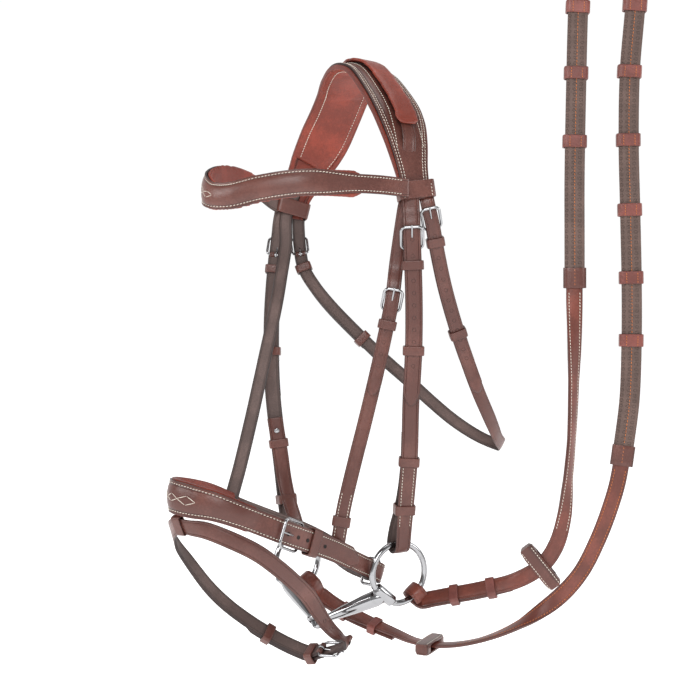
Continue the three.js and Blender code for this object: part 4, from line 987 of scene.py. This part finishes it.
class BrowbandOperator(bpy.types.Operator):
    """Padded browband with its lining, stitching, thread motif and end loops"""

    bl_idname = "bridle.browband"
    bl_label = "Browband"

    def execute(self, context):
        middle = BROW.length / 2
        start, end = BROW.reach("y", -33), BROW.reach("y", -30, middle)
        width = lambda s: ease(np.abs(s - middle), 110, 160, BROW_WIDTH, BROW_END_WIDTH)
        swell = lambda s: 1.3 * ease(np.abs(s - middle), 95, 135, 1, 0.02)
        band = strap(BROW, start - 6, end + 6, width, 2.2, 0.2, section=RAISED, puff=swell, step=3)
        hang(band, "browband_leather", "grain", nodes=["browband"])
        runs = []
        for side in (-1, 1):
            edge = lambda s, side=side: side * (width(s) / 2 - 2.4)
            runs.append((BROW, start + 2, end - 2, edge, 1.45))
        stitches("browband_stitching", runs)
        pad = strap(BROW, 62, BROW.length - 62, tapered(BROW_WIDTH + 1.6, 61, BROW.length - 61), 3.4, -3.4,
                    section=FLAT, sides=("lining", "lining", "lining"))
        soften(pad, 0.9)
        pad.data.materials.clear()
        hang(pad, "browband_cushion", "lining", nodes=["browband_pad"])
        diamonds("browband_thread_motif", BROW, middle - 3, ((-17, 7, 3), (-4, 7, 3.2), (9, 8, 2.8)), 3.6)
        for side, s in (("near", CROWN.reach("z", -134, crown_middle)), ("off", CROWN.reach("z", -131.5))):
            loop = keeper(CROWN, s, CROWN_END_WIDTH + 2.4, -9, 5, BROW_END_WIDTH - 0.6, 1.8)
            hang(loop, side + "_browband_loop_leather", "grain", nodes=[side + "_browband_loop"])
            half = CROWN_END_WIDTH / 2 - 0.5
            rim = [(CROWN, s - 7.8, s + 7.8, side2 * half, 6.85) for side2 in (-1, 1)]
            stitches(side + "_browband_loop_stitching", rim)
        return {"FINISHED"}


class CheekpieceOperator(bpy.types.Operator):
    """Cheekpieces looped round the bit rings, with hook studs, buckles and keepers"""

    bl_idname = "bridle.cheekpieces"
    bl_label = "Cheekpieces"

    def execute(self, context):
        self.side("near", NEAR_CHEEK, near_bar, 118, -207, -290, -402)
        self.side("off", OFF_CHEEK, off_bar, 128, -200, -291, -392)
        return {"FINISHED"}

    def side(self, side, line, bar, back_to, fixed_z, runner_z, stud_z):
        end = line.length
        p, along, out, _ = (q[0] for q in line.at(end))
        wire_at = p - out * WRAP
        around = [k * 22.5 for k in range(1, 8)]
        spin = lambda a: out * math.cos(math.radians(a)) + along * math.sin(math.radians(a))
        front = [*np.arange(bar, end - 12, 20), end]
        back = [(0, 2 * WRAP), (14, 1.9 * WRAP), (34, 1.3 * WRAP), (60, 5), (85, 4.4), (back_to, 4.4)]
        route = Line(
            [*[line.spot(s) for s in front], *[wire_at + WRAP * spin(a) for a in around],
             *[line.spot(end - up, out=-deep) for up, deep in back]],
            [*[line.out(s) for s in front], *[spin(a) for a in around],
             *[-line.out(end - up) for up, deep in back]],
        )
        body = strap(route, 0, route.length, CHEEK_WIDTH, step=3)
        parts = [body, *folded(line, bar, CHEEK_WIDTH)]
        hang(merge(side + "_cheekpiece_leather", parts), side + "_cheekpiece_leather", "grain",
             nodes=[side + "_cheekpiece"])
        lower = LEATHER / 2 + 0.1
        runs = [(line, end - 92, end - 22, y, lower) for y in (-5.6, 5.6)]
        runs += [(line, bar + 4, bar + 30, y, lower) for y in (-5.6, 5.6)]
        stitches(side + "_cheekpiece_stitching", runs)
        s = end - back_to + 14
        base, tip = line.spot(s, out=-5.6), line.spot(s, out=-8.6)
        knob = merge(side + "_hook_stud", [
            rod(base, tip, 1.5), rod(line.spot(s, out=-8.2), line.spot(s, out=-9.9), 2.9, 2.6, 18, 0.5)])
        hang(knob, side + "_hook_stud", "steel")
        for name, z, body_name in (("_cheek_fixed_keeper", fixed_z, "bridle"),
                                   ("_cheek_runner", runner_z, side + "_cheek_runner")):
            at = line.reach("z", z)
            band = keeper(line, at, CHEEK_WIDTH, -2, OVER_BAR + 2)
            hang(band, side + name + "_leather", "grain", body=body_name, nodes=[side + name])
        band = keeper(line, line.reach("z", stud_z), CHEEK_WIDTH, -6.3, 1.9)
        hang(band, side + "_stud_keeper_leather", "grain", nodes=[side + "_stud_keeper"])
        band = keeper(line, end - 38, CHEEK_WIDTH, -9.5, 1.6, 10)
        hang(band, side + "_lower_stud_keeper_leather", "grain")
        buckle(side + "_cheek", line, bar, CHEEK_WIDTH)


class ThroatlashOperator(bpy.types.Operator):
    """Throatlash with a buckle and keepers on each side"""

    bl_idname = "bridle.throatlash"
    bl_label = "Throatlash"

    def execute(self, context):
        far = THROAT.length - off_throat_bar
        body = strap(THROAT, near_throat_bar, far, SLIM_WIDTH, step=4)
        parts = [body, *folded(THROAT, near_throat_bar, SLIM_WIDTH), *folded(OFF_THROAT, off_throat_bar, SLIM_WIDTH)]
        hang(merge("throatlash_leather", parts), "throatlash_leather", "grain", nodes=["throatlash"])
        buckle("near_throatlash", THROAT, near_throat_bar, SLIM_WIDTH)
        buckle("off_throatlash", OFF_THROAT, off_throat_bar, SLIM_WIDTH)
        for name, line, z, body_name in (
            ("near_throatlash_keeper", THROAT, -183, "bridle"),
            ("near_throatlash_runner", THROAT, -272, "near_throatlash_runner"),
            ("off_throatlash_keeper", OFF_THROAT, -197, "bridle"),
        ):
            band = keeper(line, line.reach("z", z), SLIM_WIDTH, -2, OVER_BAR + 2)
            hang(band, name + "_leather", "grain", body=body_name, nodes=[name])
        band = keeper(OFF_THROAT, OFF_THROAT.reach("z", -277), SLIM_WIDTH, -2, OVER_BAR + 2)
        hang(band, "off_throatlash_second_keeper_leather", "grain")
        runs = [(THROAT, near_throat_bar + 4, near_throat_bar + 26, y, 1.4) for y in (-4.6, 4.6)]
        runs += [(OFF_THROAT, off_throat_bar + 4, off_throat_bar + 26, y, 1.4) for y in (-4.6, 4.6)]
        stitches("throatlash_stitching", runs)
        return {"FINISHED"}


class HangerOperator(bpy.types.Operator):
    """Sliphead over the poll and the near side hanger that it buckles to"""

    bl_idname = "bridle.hangers"
    bl_label = "Sliphead and hanger"

    def execute(self, context):
        slip_bar = SLIPHEAD.reach("z", -251, SLIPHEAD.length * 0.6)
        slip_end = SLIPHEAD.reach("z", -334, SLIPHEAD.length * 0.6)
        lift = lambda s: ease(s, slip_bar - 46, slip_bar - 24, 0, OVER_BAR)
        slip = strap(SLIPHEAD, -20, slip_end, pointed(SLIM_WIDTH, slip_end), lift=lift, step=4)
        hang(slip, "sliphead_leather", "grain", nodes=["sliphead"])
        hanger = strap(NEAR_HANGER, hanger_bar, NEAR_HANGER.length + 4, SLIM_WIDTH)
        parts = [hanger, *folded(NEAR_HANGER, hanger_bar, SLIM_WIDTH)]
        hang(merge("hanger_leather", parts), "hanger_leather", "grain", nodes=["near_noseband_hanger"])
        buckle("hanger", NEAR_HANGER, hanger_bar, SLIM_WIDTH)
        band = keeper(NEAR_HANGER, hanger_bar + 14, SLIM_WIDTH, -2, OVER_BAR + 2)
        hang(band, "hanger_runner_leather", "grain", body="hanger_runner", nodes=["hanger_runner"])
        low = NEAR_HANGER.length
        band = keeper(NEAR_HANGER, low - 16, SLIM_WIDTH, -2, 2.2, 10)
        hang(band, "hanger_lower_keeper_leather", "grain")
        runs = [(NEAR_HANGER, low - 44, low, y, 1.4) for y in (-4.6, 4.6)]
        runs += [(SLIPHEAD, -4, 40, y, 1.4) for y in (-4.6, 4.6)]
        stitches("hanger_stitching", runs)
        high = OVER_BAR + LEATHER / 2 + 0.3
        spots = [(SLIPHEAD, slip_bar + k * 12 - 4, high) for k in range(1, 6)]
        spots += [(SLIPHEAD, slip_bar - 34, 2.2), (SLIPHEAD, slip_bar - 56, 1.6)]
        holes("sliphead_holes", spots)
        return {"FINISHED"}


def nose_width(s):
    off = np.abs(s - NOSE.length * 0.5)
    return ease(off, 40, 115, NOSE_WIDTH, NOSE_END_WIDTH)


class NosebandOperator(bpy.types.Operator):
    """Crank noseband: padded front, buckled billet, crank strap and its roller ring"""

    bl_idname = "bridle.noseband"
    bl_label = "Noseband"

    def execute(self, context):
        rise = lambda s: ease(s, nose_bar - 52, nose_bar - 32, 0, OVER_BAR)
        tip = lambda s: nose_width(s) * np.clip(np.sqrt(np.clip((nose_tip - s) / 15, 0, 1)), 0.12, 1)
        swell = lambda s: 1.1 * ease(s, nose_bar - 70, nose_bar - 50, 1, 0.06) * ease(s, 40, 80, 0.05, 1)
        band = strap(NOSE, 12, nose_tip, tip, 2.4, rise, section=RAISED, puff=swell, step=3)
        hang(band, "noseband_leather", "grain", nodes=["noseband"])
        runs = []
        for side in (-1, 1):
            edge = lambda s, side=side: side * (nose_width(s) / 2 - 2.6)
            runs.append((NOSE, 20, nose_tip - 12, edge, lambda s: rise(s) + 1.5))
        stitches("noseband_stitching", runs)
        high = OVER_BAR + LEATHER / 2 + 0.25
        holes("noseband_holes", [(NOSE, nose_bar - 19 + 12 * k, high) for k in range(5)])
        wide = tapered(lambda s: nose_width(s) + 1, nose_front - 109, nose_bar - 43)
        pad = strap(NOSE, nose_front - 108, nose_bar - 44, wide, 3.6, -3.9, section=FLAT,
                    sides=("lining", "lining", "lining"))
        soften(pad, 1.0)
        pad.data.materials.clear()
        hang(pad, "noseband_cushion", "lining", nodes=["noseband_pad"])
        rolls = []
        for side in (-1, 1):
            edge = lambda s, side=side: side * (wide(s) / 2 - 0.6)
            rolls.append(strap(NOSE, nose_front - 106, nose_bar - 46, 2.6, 2.6, -2.2, shift=edge, section=FLAT,
                               sides=("lining", "lining", "lining")))
        hang(merge("noseband_rolled_edges", rolls), "noseband_rolled_edges", "lining")
        front = NOSE.reach("x", 4, 150)
        diamonds("noseband_thread_motif", NOSE, front, ((-12, 7, 4), (2, 7, 3.4), (18, 10, 4.2)), 3.3)
        self.crank()
        buckle("noseband", NOSE, nose_bar, NOSE_END_WIDTH, 29.0)
        band = keeper(NOSE, nose_bar + 15, NOSE_END_WIDTH, -2, OVER_BAR + 2, 11)
        hang(band, "noseband_keeper_leather", "grain", nodes=["noseband_keeper"])
        return {"FINISHED"}

    def crank(self):
        end = NOSE.length
        p, along, out, across = (q[0] for q in NOSE.at(end))
        wrap = 3.2 + 1.1 + LEATHER / 2
        back = end + 1
        stations = [nose_bar, nose_bar + 25, nose_bar + 55, back - 28, back - 8]
        inner = [back - 12, back - 30, back - 52]
        angles = [90, 60, 30, 0, -30, -60, -90]
        spin = lambda a: out * math.sin(math.radians(a)) + along * math.cos(math.radians(a))
        centre = NOSE.spot(end, along=1)
        route = Line(
            [*[NOSE.spot(s, out=wrap - 1 if s > back - 20 else 0) for s in stations],
             *[centre + wrap * spin(a) for a in angles], *[NOSE.spot(s, out=-wrap) for s in inner]],
            [*[NOSE.out(s) for s in stations], *[spin(a) for a in angles], *[-NOSE.out(s) for s in inner]],
        )
        body = strap(route, 0, route.length, lambda s: ease(s, 10, 16, NOSE_END_WIDTH - 2, 19), step=3)
        parts = [body, *folded(NOSE, nose_bar, NOSE_END_WIDTH)]
        hang(merge("crank_leather", parts), "crank_leather", "grain", nodes=["crank_strap"])
        stitches("crank_stitching", [(route, 20, route.length - 60, y, 1.4) for y in (-7.2, 7.2)])
        m = Matrix.Identity(4)
        for k in range(3):
            m[k][0], m[k][1], m[k][2] = out[k] * MM, across[k] * MM, -along[k] * MM
            m[k][3] = centre[k] * MM
        hang(hoop(rounded_box(-15, 0, -13.5, 13.5, 3.4), wire(1.6), m, 88, 14), "crank_ring_wire", "steel",
             nodes=["crank_ring"])
        a, b = centre - across * 10.5, centre + across * 10.5
        roller = rod(a, b, 3.2, sides=28, cap=0.2)
        hang(roller, "crank_roller_tube", "steel", body="crank_roller", nodes=["crank_roller"])


class FlashOperator(bpy.types.Operator):
    """Flash strap, its buckle, keepers and the loop that holds it to the noseband"""

    bl_idname = "bridle.flash"
    bl_label = "Flash strap"

    def execute(self, context):
        width = pointed(FLASH_WIDTH, FLASH.length)
        body = strap(FLASH, FLASH_BAR, FLASH.length, width, step=3)
        parts = [body, *folded(FLASH, FLASH_BAR, FLASH_WIDTH)]
        hang(merge("flash_leather", parts), "flash_leather", "grain", nodes=["flash_strap"])
        buckle("flash", FLASH, FLASH_BAR, FLASH_WIDTH)
        band = keeper(FLASH, 66, FLASH_WIDTH, -2.1, 6)
        hang(band, "flash_keeper_leather", "grain", nodes=["flash_keeper"])
        band = keeper(FLASH, 16, FLASH_WIDTH, -2.1, 8)
        hang(band, "flash_fixed_keeper_leather", "grain")
        front = FLASH.reach("x", 5, 60)
        loop = keeper(FLASH, front, FLASH_WIDTH + 1.4, -2.6, 2.4, 10, 1.2)
        hang(loop, "flash_loop_leather", "grain", nodes=["flash_loop"])
        holes("flash_holes", [(FLASH, FLASH.length - 100 - 12 * k, 1.65) for k in range(2, 7)])
        stitches("flash_stitching", [(FLASH, 8, 34, y, 1.4) for y in (-5.4, 5.4)])
        return {"FINISHED"}


class BitOperator(bpy.types.Operator):
    """Eggbutt bit: two rings and the two halves of a single-jointed mouthpiece"""

    bl_idname = "bridle.bit"
    bl_label = "Bit"

    def execute(self, context):
        joint = np.array([0, -52, -568.0])
        sides = {
            "near": (unit([0.19, 0.98, 0]), NEAR_CHEEK, 90, -129),
            "off": (unit([-0.1, 0.995, 0]), OFF_CHEEK, 100, -127),
        }
        barrels = {}
        up = np.array([0, 0, 1.0])
        for side, (rear, line, top, turn) in sides.items():
            swing = lambda r, a, rear=rear: r * (rear * math.cos(math.radians(a)) + up * math.sin(math.radians(a)))
            centre = line.spot(line.length, out=-WRAP) - swing(RING_RADIUS, top)
            barrels[side] = (centre + swing(BARREL_CHORD, turn), swing(1, turn + 90))
            x, y = swing(1, turn), swing(1, turn + 90)
            z = np.cross(x, y)
            m = Matrix.Identity(4)
            for k in range(3):
                m[k][0], m[k][1], m[k][2], m[k][3] = x[k] * MM, y[k] * MM, z[k] * MM, centre[k] * MM

            def outline(u):
                angle = (u * 360 + 180) % 360 - 180
                flat = math.degrees(math.acos(BARREL_CHORD / RING_RADIUS))
                radius = np.where(np.abs(angle) < flat, BARREL_CHORD / np.cos(np.radians(angle)), RING_RADIUS)
                return np.stack([np.cos(np.radians(angle)), np.sin(np.radians(angle))], 1) * radius[:, None]

            hang(hoop(outline, wire(RING_WIRE), m, 120, 20), side + "_ring_wire", "steel",
                 body=side + "_bit_ring", nodes=[side + "_bit_ring"])
        near_arm, off_arm = unit(barrels["near"][0] - joint), unit(barrels["off"][0] - joint)
        link = unit(near_arm - off_arm)
        fold = unit(np.cross(near_arm, off_arm))
        for side, sign, eye_across in (("near", 1, np.cross(fold, link)), ("off", -1, fold)):
            self.arm(side, *barrels[side], joint + link * sign * 3.25, link, eye_across)
        return {"FINISHED"}

    def arm(self, side, barrel, axis, eye_at, link, eye_across):
        shell = rod(barrel - axis * 12, barrel + axis * 12, 6.2, sides=36, cap=0.28)
        far = float(np.linalg.norm(barrel - eye_at))
        way = unit(barrel - eye_at)
        profile = [(3.3, 5.0), (3.6, 9), (4.6, 16), (5.8, 28), (7.0, 42), (7.9, 54), (8.2, far - 10), (7.2, far - 3), (5.0, far)]
        parts = [shell]
        low = profile[0]
        bar = primitive("cylinder", vertices=36, radius=1, depth=1, end_fill_type="TRIFAN")
        bpy.ops.object.mode_set(mode="EDIT")
        bpy.ops.mesh.select_all(action="SELECT")
        bpy.ops.mesh.bisect(plane_co=(0, 0, 0), plane_no=(0, 0, 1))
        for k in range(1, 20):
            bpy.ops.mesh.select_all(action="SELECT")
            bpy.ops.mesh.bisect(plane_co=(0, 0, -0.5 + k / 20 + 0.0001), plane_no=(0, 0, 1))
        bpy.ops.object.mode_set(mode="OBJECT")
        co = points_of(bar)
        along = low[1] + (co[:, 2] + 0.5) * (far - low[1])
        wide = np.interp(along, [q[1] for q in profile], [q[0] for q in profile])
        side_way = unit(np.cross(way, [0.3, 0.2, 0.9]))
        other = np.cross(way, side_way)
        move_points(bar, (eye_at + way * along[:, None] + side_way * (co[:, 0] * wide)[:, None]
                          + other * (co[:, 1] * wide)[:, None]) * MM)
        outward(bar)
        smooth(bar, 60)
        parts.append(bar)
        across = np.cross(link, eye_across)
        m = Matrix.Identity(4)
        for k in range(3):
            m[k][0], m[k][1], m[k][2], m[k][3] = link[k] * MM, eye_across[k] * MM, across[k] * MM, eye_at[k] * MM
        parts.append(hoop(ring_outline(6.5), wire(2.2), m, 56, 14))
        name = side + "_mouthpiece_half"
        hang(merge(name, parts), name, "steel", body=side + "_mouthpiece_arm", nodes=[side + "_mouthpiece_arm"])


RINGS = {
    "near": (unit([0.19, 0.98, 0]), NEAR_CHEEK, 90, -50),
    "off": (unit([-0.1, 0.995, 0]), OFF_CHEEK, 100, -60),
}


class ReinOperator(bpy.types.Operator):
    """Reins looped round the bit rings, with rubber grips, stitched stops and a centre buckle"""

    bl_idname = "bridle.reins"
    bl_label = "Reins"

    def execute(self, context):
        top_near = strap(NEAR_REIN, near_grip_top - 2, NEAR_REIN.length - REIN_BAR, REIN_WIDTH, step=3, sides=("rein",) * 3)
        near_parts = [*self.body("near", NEAR_REIN, near_sleeve, near_grip_top, 92),
                      top_near, *folded(NEAR_TOP, REIN_BAR, REIN_WIDTH, ("rein",))]
        rise = [off_grip_top - 4 + (OFF_REIN.length - off_grip_top) * k for k in (0, 0.3, 0.6, 0.95)]
        over = [-24, -8, 8, 26, 48, 62]
        billet_line = Line(
            [*[OFF_REIN.spot(s) for s in rise],
             *[NEAR_TOP.spot(REIN_BAR + s, out=2 if s < -20 else OVER_BAR) for s in over]],
            [*[OFF_REIN.out(s) for s in rise], *[NEAR_TOP.out(REIN_BAR + s) for s in over]],
        )
        top_off = strap(billet_line, 0, billet_line.length, pointed(REIN_WIDTH, billet_line.length), step=3, sides=("rein",) * 3)
        off_parts = [*self.body("off", OFF_REIN, off_sleeve, off_grip_top, 98), top_off]
        hardware = buckle("rein", NEAR_TOP, REIN_BAR, REIN_WIDTH)
        near_stop = self.stop("near", NEAR_REIN, NEAR_REIN.reach("z", -505, 60), 85)
        off_stop = self.stop("off", OFF_REIN, 138, 90)
        near_extra = self.trims("near", NEAR_REIN, near_sleeve, near_grip_top, (-84, -16, 50))
        off_extra = self.trims("off", OFF_REIN, off_sleeve, off_grip_top, (-281, -219, -152, -83, -15, 51))
        near_path = [NEAR_REIN.spot(s) for s in np.linspace(0, NEAR_REIN.length, 90)]
        off_path = [*[OFF_REIN.spot(s) for s in np.linspace(0, rise[0], 90)],
                    *[billet_line.spot(s) for s in np.linspace(8, billet_line.length, 14)]]
        for side, path, parts, extra, end in (
            ("near", near_path, near_parts, [*near_stop, *near_extra, *hardware], "fitting"),
            ("off", off_path, off_parts, [*off_stop, *off_extra], "object"),
        ):
            loop, *rest = parts
            loop = hang(loop, side + "_rein_loop", "rein", nodes=[side + "_rein_end"])
            name = side + "_rein_leather"
            rein = hang(merge(name, rest), name, "rubber", nodes=[side + "_rein", side + "_rein_grip"])
            long = sum(np.linalg.norm(b - a) for a, b in zip(path, path[1:]))
            path[0] * MM
            [p * MM for p in path]
            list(extra)
        return {"FINISHED"}

    def body(self, side, line, sleeve, grip_top, tip):
        """Looped end, flat leather, sleeve and rubber grip of one rein."""
        rear, cheek, top, angle = RINGS[side]
        up = np.array([0, 0, 1.0])
        swing = lambda r, a: r * (rear * math.cos(math.radians(a)) + up * math.sin(math.radians(a)))
        centre = cheek.spot(cheek.length, out=-WRAP) - swing(RING_RADIUS, top)
        tangent = swing(1, angle + 90)
        held = centre + swing(RING_RADIUS, angle)
        wrap = WRAP + 0.8
        away = line.spot(0) - held
        away = unit(away - tangent * np.dot(away, tangent))
        beside = np.cross(away, tangent)
        if np.dot(beside, line.out(0)) < 0:
            beside = -beside
        angles = [90, 120, 150, 180, 210, 240, 270]
        spin = lambda a: beside * math.sin(math.radians(a)) + away * math.cos(math.radians(a))
        under = [14, 34, 56, tip]
        route = Line(
            [line.spot(0), held + beside * wrap + away * 8, *[held + wrap * spin(a) for a in angles],
             held - beside * wrap + away * 7, *[line.spot(s, out=-LEATHER - 1.5) for s in under]],
            [line.out(0), beside, *[spin(a) for a in angles], -beside, *[-line.out(s) for s in under]],
        )
        loop = strap(route, 0, route.length, REIN_WIDTH - 1, step=3, sides=("rein",) * 3)
        flat = strap(line, 0, sleeve + 4, REIN_WIDTH, 3.2, step=4, sides=("rein",) * 3)
        wrap_round = strap(line, sleeve, sleeve + 20, GRIP_WIDTH + 1.6, 6.6, section=CREASED)
        grip = strap(line, sleeve + 18, grip_top, GRIP_WIDTH, 5.2, section=CREASED, puff=0.6, step=3,
                     sides=("rubber",) * 3)
        return [loop, flat, wrap_round, grip]

    def stop(self, side, line, s, turn):
        """A rein stop: a stitched leather bar with rounded ends, threaded on the rein."""
        body_name = side + "_rein_stop"
        m = line.stand(s) @ Matrix.Rotation(math.radians(turn), 4, "Z")
        slabs = []
        for low, high in ((-5.9, -3.4), (3.4, 5.9)):
            slab = primitive("cube", size=1)
            modify(slab, "BEVEL", width=0.2, segments=4, affect="EDGES")
            co = points_of(slab)
            bend = 1 - 0.1 * (co[:, 0] * 2) ** 2
            flat = np.stack([co[:, 0] * 49, co[:, 1] * 15.4 * bend, (low + high) / 2 + co[:, 2] * (high - low)], 1)
            move_points(slab, flat @ np.array(m)[:3, :3].T + np.array(m)[:3, 3])
            smooth(slab, 50)
            slabs.append(slab)
        for sign in (-1, 1):
            end = primitive("cube", size=1)
            modify(end, "BEVEL", width=0.25, segments=4, affect="EDGES")
            co = points_of(end)
            flat = np.stack([sign * 18.6 + co[:, 0] * 11.8, co[:, 1] * 14.6, co[:, 2] * 10.6], 1)
            move_points(end, flat @ np.array(m)[:3, :3].T + np.array(m)[:3, 3])
            smooth(end, 50)
            slabs.append(end)
        name = side + "_stop_leather"
        bar = hang(merge(name, slabs), name, "grain", body=body_name, nodes=[body_name])
        pattern = primitive("uv_sphere", segments=6, ring_count=4, radius=1)
        move_points(pattern, points_of(pattern) * np.array([1.2, 0.42, 0.36]))
        spots = []
        for face in (-1, 1):
            for y in (-5.6, 5.6):
                for x in np.arange(-21, 21.1, 3.0):
                    spots.append(m @ Matrix.Translation((x, y, face * 5.95)))
        return [bar, copies(name + "_stitching", pattern, spots, "thread", body_name)]

    def trims(self, side, line, sleeve, grip_top, heights):
        """Orange stitching down the grip and the leather hand stops sewn across it."""
        runs = [(line, sleeve + 22, grip_top - 3, 0, h) for h in (3.0, -2.75)]
        runs += [(line, sleeve + 2, sleeve + 18, 0, h) for h in (3.4, -3.4)]
        pieces = [stitches(side + "_grip_stitching", runs, "rein_thread", pitch=3.4)]
        sewn = [(line, 170, sleeve - 4, y, 1.65) for y in (-5.4, 5.4)]
        pieces.append(stitches(side + "_rein_stitching", sewn, "thread" if side == "near" else "rein_thread"))
        bands, rows = [], []
        for z in heights:
            s = line.reach("z", z, sleeve + 10)
            bands.append(keeper(line, s, GRIP_WIDTH, -3, 3, 12.5, 1.6))
            rows += [(line, s - 5.6, s + 5.6, y, h) for y in (-5.5, 5.5) for h in (4.75, -4.75)]
        pieces.append(hang(merge(side + "_hand_stops", bands), side + "_hand_stops", "keeper"))
        pieces.append(stitches(side + "_hand_stop_stitching", rows, "rein_thread", pitch=2.6))
        studs = []
        for s in (34, 72):
            studs.append(keeper(line, s, REIN_WIDTH, -6.2, 2.2, 9))
        pieces.append(hang(merge(side + "_rein_keepers", studs), side + "_rein_keepers", "keeper"))
        knob = rod(line.spot(54, out=-6), line.spot(54, out=-9.5), 2.6, 2.2, 18, 0.5)
        pieces.append(hang(knob, side + "_rein_hook_stud", "steel"))
        return pieces


class BridlePanel(bpy.types.Panel):
    """Everything that builds the bridle"""

    bl_idname = "VIEW3D_PT_bridle"
    bl_label = "Snaffle Bridle"
    bl_space_type = "VIEW_3D"
    bl_region_type = "UI"
    bl_category = "Bridle"

    def draw(self, context):
        for group in (context.scene.bridle_sizes, context.scene.bridle_colours):
            box = self.layout.box()
            for key in group.__annotations__:
                box.prop(group, key)
        for step in STEPS:
            self.layout.operator(step.bl_idname)


STEPS = (
    StageOperator, ReinOperator, HeadpieceOperator, BrowbandOperator, CheekpieceOperator,
    ThroatlashOperator, HangerOperator, NosebandOperator, FlashOperator, BitOperator,
)
CLASSES = (BridleColours, BridleSizes, *STEPS, BridlePanel)


def register():
    for cls in CLASSES:
        bpy.utils.register_class(cls)
    bpy.types.Scene.bridle_colours = bpy.props.PointerProperty(type=BridleColours)
    bpy.types.Scene.bridle_sizes = bpy.props.PointerProperty(type=BridleSizes)


def unregister():
    del bpy.types.Scene.bridle_sizes
    del bpy.types.Scene.bridle_colours
    for cls in reversed(CLASSES):
        bpy.utils.unregister_class(cls)


def main():
    register()
    clear_selection()
    for step in STEPS:
        group, name = step.bl_idname.split(".")
        getattr(getattr(bpy.ops, group), name)()
    bpy.context.view_layer.update()


if __name__ == "__main__":
    main()
